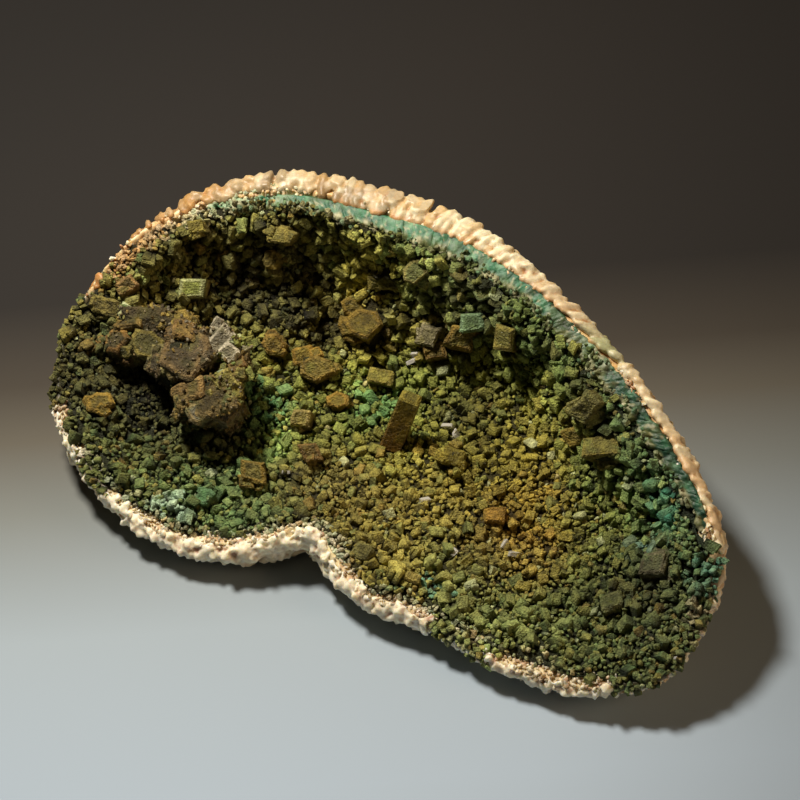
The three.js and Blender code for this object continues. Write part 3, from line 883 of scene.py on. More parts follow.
def paintRind(mesh, look):
    coords = coordsOf(mesh)
    place = toMouth(coords)
    low, mid = hollowness(mesh, 6), softNoise(coords, 8, 2)
    section = ramp(place[:, 2], -3.8, -2.4)
    broken = paint(
        look["honey"],
        (look["line"], ramp(mid, 0.3, 0.7)),
        (look["cream"], 0.25 + patchy(coords, 3.5, 5, 0.4, 0.7) * 0.65),
        (look["cream"], ramp(-place[:, 1], 10, 40) * 0.75))
    tint = paint(
        look["cream"],
        (look["peach"], patchy(coords, 22, 1, 0.35, 0.75)),
        (look["beige"], ramp(mid, 0.45, 0.85) * 0.7),
        (look["honey"], patchy(coords, 13, 3, 0.6, 0.85) * 0.7),
        (look["rust"], ramp(low, 0.12, 0.5) * patchy(coords, 10, 4, 0.25, 0.6)),
        # Darker brown in the rind's deepest hollows.
        (look["hollowBrown"], ramp(low, 0.3, 0.8) * 0.7),
        (broken, section),
        (look["rust"], section * patchy(coords, 3.0, 6, 0.62, 0.78) * 0.5),
        (look["olive"], druseOverRind(place)))
    storeAttribute(mesh, "tint", tint)


def shadeOfRimCrumbs(mesh):  # broken bits on the section: cream and rust, and green beside the band
    look = rindSettings
    seat, place, chance = seatsOf(mesh)
    u, v, w = place.T
    front, other = ramp(-v, 10, 40), again(chance, 13.7)
    small = ramp(-readAttribute(mesh, "size").astype(float) / mm, -2.8, -2.0) * (1 - 0.5 * front)
    mint = np.exp(-((u + 88) / 22) ** 2) + 0.7 * np.exp(-((u - 82) / 14) ** 2)
    mint *= patchy(seat, 5, 15, 0.3, 0.55) * (v > 0) * (other < 0.6)
    tint = paint(
        look["white"],
        (look["cream"], chance * (1 - 0.5 * front)),
        (look["beige"], patchy(seat, 7, 16, 0.45, 0.8) * 0.5),
        (look["line"], (other > 0.6) * 0.5 * small),
        (look["rust"], patchy(seat, 5, 14, 0.5, 0.7) * (other > 0.4) * 0.6 * small),
        (look["mint"], mint * 0.8),
        (look["tan"], ramp(-w, 2, 11) * front * 0.55),
        (look["rust"], patchy(coordsOf(mesh), 2.6, 18, 0.62, 0.8) * 0.55 * front))
    fine = 0.9 + 0.16 * softNoise(coordsOf(mesh), 1.2, 17)
    storeAttribute(mesh, "tint", tint * (fine * (0.84 + 0.22 * again(chance, 7.7)))[:, None])


beads = collectionOf("beads", [beadShape(i) for i in range(5)])
rindPiece, fromCrust = makeRind(rindSettings, beads)
print("rind:", len(rindPiece.data.polygons), "faces")
rimPiece = makeRimBeads(rindSettings, rindPiece, fromCrust, beads)
dropCollection(beads)


# The druse: its ground, and the small crystals on it. Sizes in mm where no unit is given.
druseSettings = dict(
    voxel=2.5 * mm,
    smoothing=4,
    sink=1.7 * mm,  # how far the ground lies under the solid's face
    relief=((15, 5.0), (7, 3.0)),  # its swellings: width and height
    small=dict(Spacing=1.4 * mm, Smallest=1.7 * mm, Largest=3.5 * mm, Sink=0.25, Tilt=0.9, Seed=11),
    bold=dict(Spacing=6.2 * mm, Smallest=3.4 * mm, Largest=5.4 * mm, Sink=0.3, Tilt=0.8, Seed=12),
    wall=dict(Spacing=4.6 * mm, Smallest=3.6 * mm, Largest=6.0 * mm, Sink=0.35, Tilt=0.6, Seed=16),
    crumb=dict(Spacing=2.0 * mm, Smallest=0.9 * mm, Largest=2.1 * mm, Sink=0.15, Tilt=0.8, Seed=13),
    rim=dict(Spacing=1.8 * mm, Smallest=1.8 * mm, Largest=3.6 * mm, Sink=0.2, Tilt=0.8, Seed=14),
    bits=dict(Spacing=1.25 * mm, Smallest=0.9 * mm, Largest=2.4 * mm, Sink=0.3, Tilt=1.5, Seed=19),
    edge=dict(Spacing=1.35 * mm, Smallest=1.4 * mm, Largest=3.4 * mm, Sink=0.15, Tilt=1.5, Seed=21),
    fringe=dict(Spacing=1.5 * mm, Smallest=1.3 * mm, Largest=3.2 * mm, Sink=0.05, Tilt=0.8, Seed=18),
    contrast=0.75,  # between one grain and the next
    smooth=0.35,  # share of the grains that are worn smooth
    grade=(1.28, 1.36, 1.42),  # brings all the stains up together
    # ground: near black, painted shade for the gaps between the grains.
    ground="#121308", olive="#857a2c", ochre="#a08c34", green="#4f7a4a", pale="#b9bf96", brown="#8a6428",
    # Painted shade's tint on the back wall; the tops' lighter tint, for wear and painted highlight.
    wallShadeTint="#6c6a48", worn="#a39a58",
)

# What copper and iron have stained, and painted shadow: u, v and w of a patch's middle, its reach and colour.
stains = [
    (-120, -20, 0, 30, "#54502a"), (-110, 40, 0, 30, "#625c2c"), (-100, -50, 0, 30, "#525c2e"),
    (-60, -60, 0, 26, "#557244"), (-45, 0, -35, 24, "#7f7d33"), (-60, -20, -30, 16, "#557a42"),
    (-20, 5, -42, 18, "#5c803e"), (0, 5, -42, 22, "#7a8034"), (-30, 30, -40, 25, "#94802f"),
    (-60, 60, -8, 26, "#747034"), (0, 65, -8, 30, "#5d6b3a"), (50, 40, -15, 24, "#5f7a40"),
    (40, 0, -38, 32, "#8d7e2c"), (62, -28, -22, 20, "#a5741f"), (20, -45, -20, 26, "#90803a"),
    (-20, -45, -18, 20, "#706330"), (90, -10, -20, 26, "#6d7a36"), (110, -50, -10, 30, "#616d3c"),
    (125, -10, -5, 22, "#3f6a4c"), (100, 20, -6, 20, "#55734a"), (60, -72, -5, 26, "#788048"),
    # The last two rows: painted shadow under the cluster.
    (130, -60, 0, 24, "#525e3c"), (-100, -36, -30, 22, "#30361c"), (-66, -40, -25, 12, "#3a4022"),
]

# Small patches, crusted or stained: u, v, w, reach, colour, and how many of their crystals have it.
patches = [
    (-73, -77, -3, 9, "#a9c2a4", 0.75), (-88, -78, -3, 5, "#c4b894", 0.6), (-60, -84, -3, 6, "#8fae90", 0.5),
    (30, -80, -3, 6, "#4f8f78", 0.7), (22, -82, -3, 5, "#d2c29c", 0.7), (40, -65, -5, 6, "#5f9a84", 0.5),
    (47, -70, -5, 6, "#5a8f74", 0.5), (92, -87, -3, 9, "#c4b68c", 0.6), (62, -86, -3, 7, "#9a9668", 0.5),
    (145, -30, -3, 9, "#4f8470", 0.7), (148, -44, -2, 7, "#b9ac88", 0.5), (118, -7, -6, 10, "#2f6a54", 0.7),
    (112, -25, -8, 10, "#5a8074", 0.4), (124, 4, -4, 8, "#2f6450", 0.7), (-66, 8, -20, 10, "#4fa070", 0.4),
    (-62, -14, -28, 12, "#5a8a58", 0.4), (-20, 2, -40, 12, "#628f54", 0.4), (-100, 62, -3, 8, "#6f9a72", 0.6),
]

# Painted shade on the back wall: u, and v of the belt's lower and its upper edge, in mm.
shadedWallBelt = [(-108, 34, 34), (-98, 22, 42), (-75, 14, 56), (-52, 17, 44), (-34, 26, 44), (-10, 38, 52),
            (12, 38, 90), (36, 40, 90), (52, 40, 90), (72, 20, 90), (92, 8, 90), (110, 6, 90)]

# Painted shade and painted light on the druse: u and v of a soft spot's middle, its reach in mm, and how
# much.
paintedLightSpots = [
    (-108, -30, 14, 0.12), (-131, -36, 14, 0.45), (-74, -35, 10, 0.25), (-92, -44, 13, 0.5),
    (118, -38, 17, 0.6),
    (93, -52, 10, 0.65), (20, 11, 15, 0.36), (50, -50, 10, 0.75), (-131, 12, 13, 1.8), (46, 18, 12, 1.3),
    (8, -10, 10, 1.4), (75, -84, 14, 1.5), (30, -74, 12, 1.5), (-34, 52, 14, 2.9), (-94, 54, 11, 1.8),
    (-8, 54, 12, 1.9), (-88, 30, 10, 0.22), (-52, 14, 9, 0.35), (-50, -28, 9, 2.6), (132, -45, 12, 0.6),
    (-32, 12, 9, 1.7), (-50, 52, 9, 1.7), (-68, -28, 9, 0.5), (-90, -28, 8, 0.6), (70, 30, 9, 0.65),
    (114, -10, 11, 1.6), (50, 32, 9, 1.3), (20, 32, 12, 1.25), (8, -14, 8, 1.3), (-30, -50, 9, 0.75),
]


def stainAt(coords):  # the druse's colour at each point, before a crystal's own chance
    place = toMouth(coords)
    wander = np.stack([softNoise(coords, 14, seed) - 0.5 for seed in (21, 22, 23)], -1) * 22
    total = np.full(len(place), 0.04)
    tint = total[:, None] * np.array(hexColour(druseSettings["olive"])[:3])
    for u, v, w, reach, colour in stains:
        away = (place + wander - (u, v, w)) * (1, 1, 0.6)
        share = np.exp(-((away**2).sum(1)) / reach**2)
        total = total + share
        tint = tint + share[:, None] * np.array(hexColour(colour)[:3])
    return tint / total[:, None]


def shadeOfCrystals(mesh):  # a colour for each crystal, from where it sits and its own chance
    look = druseSettings
    seat, place, chance = seatsOf(mesh)
    u, v, w = place.T
    shift = again(chance, 7.31)
    tint = paint(
        stainAt(seat) * (1 + look["contrast"] * (chance - 0.5))[:, None],
        (look["ochre"], ramp(shift, 0.75, 1.0) * 0.4),
        (look["green"], ramp(shift, 0.2, 0.0) * 0.35),
        (look["pale"], (again(chance, 31.7) < 0.025) * 0.5),
        (look["brown"], (again(chance, 57.3) < 0.05) * 0.45))
    for number, (*middle, reach, colour, many) in enumerate(patches):
        near = np.exp(-(((place - middle) / reach) ** 2).sum(1))
        tint = mixColours(tint, colour, ramp(near, 0.2, 0.5) * (again(chance, 11.3 + number) < many) * 0.8)
    # Painted shade on the upper wall and a right-end pocket; painted highlight on some crystals.
    level = v + 12 * (softNoise(seat, 9, 30) - 0.5)
    low, high = (np.interp(u, [row[0] for row in shadedWallBelt], [row[k] for row in shadedWallBelt]) for k in (1, 2))
    wall = ramp(level - low, -4, 8) * ramp(high - level, -3, 4) * ramp(-w, 1, 5)
    tint = mixColours(tint, look["wallShadeTint"], wall * 0.3)
    shadedPocket = ramp(u, 96, 112) * ramp(-w, 3, 8) * ramp(v, -62, -52) * ramp(-v, 14, 24) * 0.6
    lit = ramp(again(chance, 91.7), 0.48, 0.6) * (1 - 0.45 * ramp(u, 10, 40))
    tint = tint * (1 - np.maximum(wall, shadedPocket) * (1 - (0.24 + 1.1 * lit)))[:, None]
    # Painted shade and painted light in soft spots.
    lightSpots = [math.log(much) * np.exp(-((u - a) ** 2 + (v - b) ** 2) / reach**2)
             for a, b, reach, much in paintedLightSpots]
    tint = tint * np.exp(sum(lightSpots))[:, None]
    top = readAttribute(mesh, "top").astype(float)  # painted shade and grime at the foot, wear and painted highlight at the top
    tint = mixColours(tint, look["worn"], ramp(top, 0.75, 1.0) * 0.2)
    storeAttribute(mesh, "tint", tint * (0.12 + 0.88 * ramp(top, 0.05, 0.85))[:, None] * look["grade"])


# Where the crust's section shows as a clean green band: from the left of the top to the right end.
bandRange = dict(first=(-116, 58), last=(144, -12), fade=10)


def bandShare(index):
    return alongEdge(index, **bandRange)


def makeDruseGround(look):
    piece = copyOfNode("heulandite_crust", "druseGround")
    mesh = remeshed(piece, look["voxel"], look["smoothing"])
    coords = coordsOf(mesh)
    place = toMouth(coords)
    depth, width, nearest = insideEdge(place)
    contact = ramp(distances(coords, rindSurface), 2.4, 1.0)
    banded = bandShare(nearest) * ramp(place[:, 2], -5, -3)
    banded = banded * ramp(width + 0.5 + bandShift(place[:, 0]) - depth, 0, 1)
    bare = np.clip(1 - contact * ramp(place[:, 2], -0.5, -2.5), 0, 1) * (1 - banded)
    swell = sum((softNoise(coords, wide, 24 + i) - 0.5) * high
                for i, (wide, high) in enumerate(look["relief"]))
    sink = bare * (look["sink"] - swell * mm) + banded * 1.5 * mm
    setCoords(mesh, coords - normalsOf(mesh) * sink[:, None])
    storeAttribute(mesh, "open", bare)
    # The ground is near black, painted shade for the gaps between the grains, with a little stain.
    dark = np.tile(hexColour(look["ground"])[:3], (len(coords), 1))
    storeAttribute(mesh, "tint", mixColours(dark, stainAt(coords), np.full(len(coords), 0.12)))
    dress(mesh, druseMaterial)
    return piece


# Large crystals. Each row: u, v and w of the root, how far it stands out, width, thickness, sides,
# turn in degrees, lean along u and v, the colour of its faces and of its edges.
largeCrystals = [
    (-134, -3, -3, 6, 12, 7, 4, 5, 0.2, 0, "#6f6434", "#857a3c"),
    (-130, 9, -6, 5, 9, 6, 4, 60, 0.3, 0, "#7d6a3a", "#b08a56"),
    (-108, 42, 0, 5, 7, 6, 4, 30, 0, -0.3, "#857a34", "#9c8f42"),
    (-76, 53, -9, 7, 10, 7, 4, 10, 0.1, -0.5, "#7d7438", "#978a42"),
    (-80, 45, -25, 7, 8, 9, 6, 30, 0, -0.3, "#7b6c30", "#93803a"),
    (-121, -43, -7, 8, 11, 9, 6, 15, 0.3, 0.1, "#786626", "#a08030"),
    (-15, 57, -13, 8, 11, 11, 6, 10, 0.1, -0.6, "#7b8a58", "#8f8044"),
    (-31, 51, -28, 7, 12, 6, 4, 15, 0, -0.4, "#827a34", "#98893e"),
    (-37, 33, -44, 14, 17, 13, 6, 12, 0.2, -0.1, "#70602c", "#92762e"),
    (8, 39, -35, 14, 12, 10, 4, 5, 0.2, -0.2, "#7a642c", "#9a7a30"),
    (17, 55, -7, 5, 8, 7, 4, 40, 0, -0.6, "#6a8452", "#869a68"),
    (-8, 38, -40, 11, 9, 9, 4, 10, 0.2, -0.3, "#8a846a", "#a49a78"),
    (-3, 32, -42, 8, 9, 7, 4, 30, 0.1, -0.2, "#6a542a", "#94743a"),
    (-68, 11, -35, 9, 10, 9, 6, 20, 0.1, -0.1, "#7d632e", "#9a7a34"),
    (-48, 8, -40, 11, 14, 11, 6, 5, 0.2, -0.1, "#786432", "#907634"),
    (-56, 11, -40, 7, 9, 8, 4, 35, 0.1, 0, "#8a6a2a", "#a68030"),
    (-33, -3, -38, 8, 10, 8, 6, 0, 0.1, -0.1, "#8a6c28", "#a48032"),
    (-22, 14, -43, 7, 12, 7, 4, 10, 0.2, -0.1, "#857a36", "#9c8c3e"),
    (-43, -17, -31, 7, 8, 7, 4, 20, 0, 0, "#8f8048", "#a89658"),
    (24, -12, -32, 8, 9, 8, 4, 5, 0.1, 0, "#82742c", "#968834"),
    (-48, -49, -17, 11, 10, 9, 4, 15, 0.1, 0.1, "#76682c", "#94782e"),
    (-31, -31, -23, 7, 8, 7, 4, 25, 0, 0.1, "#705a30", "#886838"),
    (51, -31, -24, 6, 9, 7, 4, 20, 0.1, 0.1, "#86642a", "#9c7830"),
    (11, -66, -5, 6, 9, 7, 6, 10, 0, 0.2, "#6f6c38", "#87824a"),
    (-61, -66, -7, 6, 8, 7, 6, 30, 0, 0.2, "#4f7a4e", "#6f9468"),
    (87, 9, -16, 11, 15, 10, 4, 20, -0.2, -0.2, "#766a30", "#8a7c38"),
    (71, 12, -25, 8, 10, 7, 4, 35, 0, -0.2, "#84702e", "#9a8234"),
    (76, 21, -7, 10, 14, 8, 4, 60, -0.1, -0.3, "#6a6634", "#84804a"),
    (124, -32, -8, 7, 12, 10, 4, 15, -0.3, 0, "#4a4634", "#605842"),
    (112, -52, -9, 6, 9, 7, 4, 40, -0.1, 0.1, "#545a36", "#6b6c44"),
]

# The crisper prisms among them.
prisms = [
    (-107, 21, -22, 8, 11, 9, 4, 20, 0.1, -0.2, "#77823e", "#b0b480"),
    (13, 45, -24, 11, 10, 8, 4, 25, 0.1, -0.3, "#64845a", "#84a078"),
    (30, 41, -18, 12, 8, 11, 4, 5, 0.1, -0.3, "#75682e", "#8a7c3a"),
    (-4, -12, -33, 24, 9, 7, 4, 10, 0.3, 1, "#85762e", "#968834"),
]

# The cluster that stands out over the left of the hollow. Each row: u, v and w of a crystal's
# top, its height, and then as above.
clusterCrystals = [
    (-101, -11, -5, 12, 52, 26, 6, -18, 0, 0, "#443a26", "#504428"),
    (-79, -22, -4, 13, 24, 26, 4, 40, 0.1, 0, "#4a3e2a", "#5a4a2c"),
    (-123, -15, 1, 14, 12, 11, 6, 10, -0.1, 0, "#5c5230", "#8f6a30"),
    (-121, -5, 1, 13, 13, 10, 4, 15, -0.1, 0.1, "#675a30", "#8c7236"),
    (-110, 0, 0, 13, 13, 9, 4, -10, 0, 0.2, "#77692f", "#9a8a40"),
    (-101, 2, 0, 12, 10, 9, 4, 30, 0, 0.2, "#7d6c30", "#a38a40"),
    (-109, -13, 2, 12, 14, 13, 6, 20, 0, -0.1, "#656032", "#8f803c"),
    (-103, -18, 2, 12, 4, 12, 4, 15, 0.1, -0.1, "#6a6238", "#8a8250"),
    (-99, -17, 3, 12, 4, 14, 4, 22, 0.1, 0, "#6f683c", "#958c58"),
    (-91, -11, 5, 16, 19, 20, 4, -14, 0.05, -0.05, "#574c38", "#7c663e"),
    (-95, -3, 5, 14, 10, 9, 4, 10, 0, 0.15, "#66542e", "#86683a"),
    (-84, -14, 6, 14, 9, 11, 4, -30, 0.1, 0, "#544838", "#786648"),
    (-92, -20, 5, 13, 10, 8, 4, 35, 0, -0.15, "#5c5236", "#80703e"),
    (-74, -26, 5, 18, 20, 19, 4, 38, 0.1, -0.1, "#63532f", "#8f7a48"),
    (-82, -26, 6, 14, 12, 9, 4, 30, -0.05, 0.05, "#8f7040", "#a98a52"),
    (-69, -18, 6, 14, 9, 9, 4, 50, 0.1, 0.1, "#85793a", "#a89c54"),
    (-63, -21, 4, 12, 5, 5, 4, 20, 0.3, 0, "#8f8034", "#b09a48"),
    (-74, -33, 5, 13, 12, 9, 4, 44, 0, -0.2, "#6c5a34", "#96804a"),
    (-83, -32, 3, 12, 9, 8, 4, 20, -0.1, -0.2, "#76642f", "#9c8440"),
    (-80, -2, 1, 15, 8, 15, 4, -30, 0.1, 0.05, "#8d8672", "#c9c0a4"),
    (-74, -5, 1, 15, 8, 7, 4, -20, 0.1, 0, "#a39a80", "#e0d6ba"),
    (-70, -8, -1, 14, 9, 9, 6, 0, 0.2, 0, "#664e30", "#8a6638"),
]

# others: the smaller tablets grown on each, and other, twist and lean: their sizes, turn and slant.
# shade and mottle: how far their colours differ. stained: the share of the druse's colour around.
crystalSettings = dict(
    rootDepth=3, others=3, other=(0.34, 0.66), twist=24, lean=0.2,
    shade=(0.7, 1.15), stained=0.3, mottle=0.5, palette=("#6f6a30", "#7d6a2c", "#8f7a3c"), foot="#5c4a22",
    facet=1.15, uneven=0.5, grit=0.17,  # size of the facets and height of their unevenness, mm
)
prismSettings = dict(crystalSettings, others=0, uneven=0.12, grit=0.06, mottle=0.1, foot="#a0682a")
clusterSettings = dict(
    others=5, other=(0.32, 0.55), twist=40, lean=0.35, shade=(0.58, 1.0), stained=0.15, mottle=0.8,
    palette=("#6f6a36", "#94763a", "#5c4a34", "#8d8672", "#7a6c34", "#4a4230"), foot="#4a4028",
    facet=1.5, uneven=0.8, grit=0.16,
)


def addCrystal(shape, layer, place, width, thickness, height, sides, low, face, edge, chance):
    # One blunt tablet: its rings from the foot to the middle of the top, in the frame of its own axis.
    if sides == 4:
        cut = 1 - chance.uniform(0.06, 0.22)
        outline = [(1, cut), (cut, 1), (-cut, 1), (-1, cut), (-1, -cut), (-cut, -1), (cut, -1), (1, -cut)]
    else:
        outline = [(1.15, 0.1), (0.5, 0.95), (-0.55, 1.0), (-1.1, 0.05), (-0.7, -0.9), (0.35, -1.05)]
    outline = [(x * chance.uniform(0.84, 1.08) * width / 2, y * chance.uniform(0.84, 1.08) * thickness / 2)
               for x, y in outline]
    skew = chance.uniform(-0.3, 0.3)
    slant = chance.uniform(-0.28, 0.28), chance.uniform(-0.28, 0.28)
    blunt = min(1.0, 0.12 * min(width, thickness))
    tight = 1 - 2 * blunt / min(width, thickness)
    rings = []
    for z, scale, worn in ((0, 1.05, 0), (height - blunt, 1.0, 0.35), (height, tight, 0.7),
                           (height + 0.1, tight * 0.72, 0)):
        ring = []
        for x, y in outline:
            rise = z + (x * slant[0] + y * slant[1] + chance.uniform(-0.1, 0.1)) * (z > 0)
            vertex = shape.verts.new(place @ Vector(((x + skew * y) * scale, y * scale, rise)))
            vertex[layer] = [a * (1 - worn) + b * worn for a, b in zip(face if z > 0 else low, edge)]
            ring.append(vertex)
        rings.append(ring)
    addRings(shape, rings)


def cutFine(shape, facet):  # until no edge is long
    for _ in range(5):
        long = [e for e in shape.edges if e.calc_length() > facet * 1.35]
        if not long:
            break
        bmesh.ops.subdivide_edges(shape, edges=long, cuts=1, use_grid_fill=True)
        bmesh.ops.triangulate(shape, faces=[f for f in shape.faces if len(f.verts) > 4])


def makeCrystals(name, rows, look, seed):
    shape = bmesh.new()
    layer = shape.verts.layers.float_color.new("tint")
    for number, (foot, top, width, thickness, sides, turn, face, edge) in enumerate(rows):
        chance = random.Random(seed + number)
        height = (top - foot).length / mm
        stand = Vector((0, 0, 1)).rotation_difference((top - foot).normalized()).to_matrix().to_4x4()
        origin = Matrix.Translation(foot) @ stand @ Matrix.Scale(mm, 4)
        local = stainAt(np.array([tuple(top)]))[0]
        parts = [(0, 0, 1.0, 1.0, 0, 0, 0)]
        for _ in range(look["others"]):
            parts.append((chance.uniform(-0.45, 0.45), chance.uniform(-0.45, 0.45),
                          chance.uniform(*look["other"]), chance.uniform(0.6, 1.05),
                          chance.uniform(-1, 1) * look["twist"],
                          chance.uniform(-1, 1) * look["lean"], chance.uniform(-1, 1) * look["lean"]))
        for x, y, wide, high, twist, leanX, leanY in parts:
            place = Matrix.Translation((x * width, y * thickness, 0)) @ Matrix.Rotation(leanX, 4, "X") @ \
                Matrix.Rotation(leanY, 4, "Y") @ Matrix.Rotation(math.radians(turn + twist), 4, "Z")
            shade, share = chance.uniform(*look["shade"]), chance.random() ** 2 * look["mottle"]
            other = hexColour(chance.choice(look["palette"]))
            own = [((a * (1 - share) + b * share) * (1 - look["stained"]) + c * look["stained"]) * shade
                   for a, b, c in zip(hexColour(face)[:3], other, local)] + [1]
            low = [a * 0.5 + b * 0.5 for a, b in zip(own, hexColour(look["foot"]))]
            addCrystal(shape, layer, origin @ place, width * wide, thickness * wide, height * high, sides,
                       low, own, hexColour(edge), chance)
    cutFine(shape, look["facet"] * mm)
    mesh = meshOf(shape, name)
    coords, normals = coordsOf(mesh), normalsOf(mesh)
    height = (softNoise(coords, 3.0, 41) + softNoise(coords, 1.7, 42) - 1) * look["uneven"]
    height += np.random.default_rng(seed).uniform(-1, 1, len(coords)) * look["grit"]
    setCoords(mesh, coords + normals * height[:, None] * mm)
    tint = readColours(mesh, "tint")
    for wide, number in ((2.2, 44), (5.0, 45)):
        tint = tint * (0.7 + 0.6 * softNoise(coords, wide, number))[:, None]
    tint = mixColours(tint, stainAt(coords), patchy(coords, 4, 43, 0.6, 0.85) * 0.5)
    dropAttributes(mesh, "tint")
    storeAttribute(mesh, "tint", tint)
    dress(mesh, crystalMaterial, False)
    report(name, mesh)
    return newObject(name, mesh)


def rootedRow(u, v, w, rise, width, thickness, sides, turn, leanU, leanV, face, edge):
    axis = turnMouth(leanU, leanV, 1)
    root = fromMouth(u, v, w)
    foot = root - axis * crystalSettings["rootDepth"] * mm
    return foot, root + axis * rise * mm, width, thickness, sides, turn, face, edge


def toppedRow(u, v, w, height, width, thickness, sides, turn, leanU, leanV, face, edge):
    top = fromMouth(u, v, w)
    return top - turnMouth(leanU, leanV, 1) * height * mm, top, width, thickness, sides, turn, face, edge


groundPiece = makeDruseGround(druseSettings)
print("druse ground:", len(groundPiece.data.polygons), "faces")
rooted = [rootedRow(*row) for row in largeCrystals]
prismRows = [rootedRow(*row) for row in prisms]
topped = [toppedRow(*row) for row in clusterCrystals]
crystalPiece = makeCrystals("heulanditeCrystals", rooted, crystalSettings, 100)
prismPiece = makeCrystals("heulanditePrisms", prismRows, prismSettings, 300)
clusterPiece = makeCrystals("heulanditeCluster", topped, clusterSettings, 200)


def clearOfCrystals(coords, rows, margin, reach=0.5):  # 0 inside a large crystal's reach, 1 away from it
    free = np.ones(len(coords))
    for foot, top, width, thickness, *_ in rows:
        a, b = np.array(foot), np.array(top)
        along = np.clip((coords - a) @ (b - a) / ((b - a) @ (b - a)), 0, 1)
        away = np.linalg.norm(coords - a - along[:, None] * (b - a), axis=1) / mm
        wide = max(width, thickness) * reach
        free = np.minimum(free, ramp(away, wide - 0.5, wide + margin))
    return free


def scatterDruse(name, ground, material, shade, *layers):  # each layer: its growth, look and shapes
    meshes = []
    for growth, look, shapes in layers:
        mesh = ground.copy()
        dropAttributes(mesh, "tint", "growth", "open")
        storeAttribute(mesh, "growth", growth)
        piece = newObject(name, mesh)
        useTree(piece, scatterOnly, dict(druseSettings[look], Shapes=shapes, Material=material))
        meshes.append(applyModifiers(piece))
        bpy.data.objects.remove(piece)
    mesh = joinMeshes(meshes)
    shade(mesh)
    worn = readAttribute(mesh, "chance") > 1 - druseSettings["smooth"]
    mesh.polygons.foreach_set("use_smooth", [bool(worn[p.vertices[0]]) for p in mesh.polygons])
    report(name, mesh)
    return newObject(name, mesh)


def shadeOfCluster(mesh):
    seat, _, chance = seatsOf(mesh)
    tint = paint("#5c5038", ("#8a7438", patchy(seat, 6, 71, 0.35, 0.7)), ("#8c8672", (chance > 0.8) * 0.6))
    storeAttribute(mesh, "tint", tint * (0.75 + 0.5 * chance)[:, None])


def shadeOfEdgeCrumbs(mesh):  # pale crumbs of both, between the rind and the druse
    look = rindSettings
    seat, place, chance = seatsOf(mesh)
    depth, other = insideEdge(place)[0], again(chance, 13.7)
    back = ramp(place[:, 1], 0, 10)
    tint = paint(
        "#b6b892",
        ("#cfc698", back),
        (look["pale"], ramp(-depth, -7, -1) * (other > 0.35) * 0.9),
        (look["mint"], (chance < 0.35) * 0.6),
        ("#8a8a4e", ramp(depth, 2, 7) * (other < 0.55) * 0.7),
        (look["honey"], (again(chance, 5.3) > 0.9) * 0.5),
        (stainAt(seat) * 1.4, (1 - back) * ramp(depth, 2, 7) * 0.7),
        (look["line"], ramp(-place[:, 0], 112, 130) * back * 0.6))
    storeAttribute(mesh, "tint", tint * (0.8 + 0.35 * again(chance, 7.7))[:, None])


grains = collectionOf("grains", [chipShape(60 + i) for i in range(9)]
                      + [tabletShape(i, 0.3 + 0.15 * i) for i in range(4)])
tablets = collectionOf("tablets", [tabletShape(10 + i, thick)
                                   for i, thick in enumerate((0.45, 0.7, 0.35, 0.6))])
stacks = collectionOf("stacks", [tabletShape(20 + i, thick, i % 3)
                                 for i, thick in enumerate((0.55, 0.4, 0.7, 0.5, 0.8, 0.45))])
chips = collectionOf("chips", [chipShape(40 + i) for i in range(5)])

ground = groundPiece.data
coords = coordsOf(ground)
place = toMouth(coords)
depth, _, number = insideEdge(place)
leftStrip = alongEdge(number, (-143, 12), (-80, 79), 14) * ramp(-depth, -8.5, -6)
frontStrip = alongEdge(number, (108, -91), (-122, -67), 12) * ramp(-depth, -7, -4)
frontStrip *= ramp(softNoise(coords, 7, 31) + 0.2 * (depth < 3), 0.3, 0.42)
crumbled = np.maximum(leftStrip, frontStrip) * ramp(place[:, 2], -9, -6)
free = (1 - crumbled) * readAttribute(ground, "open") * (0.75 + 0.25 * patchy(coords, 7, 27, 0.3, 0.5))
free = free * clearOfCrystals(coords, rooted + prismRows, 0.3) * clearOfCrystals(coords, topped, 0.3, 0.3)
roomy = free * clearOfCrystals(coords, topped, 0.3)
steep = ramp(-facingOut(ground), -0.75, -0.5)
drusePieces = []
for side, low, high in (("Left", -200, -40), ("Middle", -40, 40), ("Right", 40, 200)):
    share = ramp(place[:, 0], low - 0.3, low + 0.3) * ramp(-place[:, 0], -high - 0.3, -high + 0.3)
    drusePieces.append(scatterDruse(
        "druse" + side, ground, druseMaterial, shadeOfCrystals, (free * share, "small", grains),
        (roomy * share, "bold", stacks), (roomy * share * steep, "wall", stacks)))
drusePieces.append(scatterDruse("edgeCrumbs", ground, druseMaterial, shadeOfEdgeCrumbs,
                                (ramp(facingOut(ground), 0.15, 0.45) * crumbled, "edge", chips)))

# On the left the druse comes over the rind's edge, and the last growth lies in patches on the cluster.
rind, cluster = rindPiece.data, clusterPiece.data
place = toMouth(coordsOf(rind))
drusy = druseOverRind(place)
drusePieces.append(scatterDruse("druseRim", rind, druseMaterial, shadeOfCrystals, (drusy, "rim", tablets)))
drusePieces.append(scatterDruse("clusterCrumbs", cluster, druseMaterial, shadeOfCluster,
                                (patchy(coordsOf(cluster), 5, 28, 0.45, 0.6), "crumb", chips)))

# The crumbs of the rind's broken edge.
depth, _, index = insideEdge(place)
section = ramp(place[:, 2], -3.0, -1.8) * (1 - drusy)
beside = section * crumblyShare(index) * ramp(depth, -5.0, -4.0)
beside = np.maximum(beside, section * ramp(depth, -1.6, -0.8) * (softNoise(place * mm, 4, 29) > 0.55))
broken = brokenShare(place) * (1 - drusy) * ramp(depth, -3.0, -1.0)
crumbPieces = [scatterDruse("sectionCrumbs", rind, rindMaterial, shadeOfRimCrumbs, (beside, "bits", chips)),
               scatterDruse("rimBits", rind, rindMaterial, shadeOfRimCrumbs, (broken, "bits", chips))]


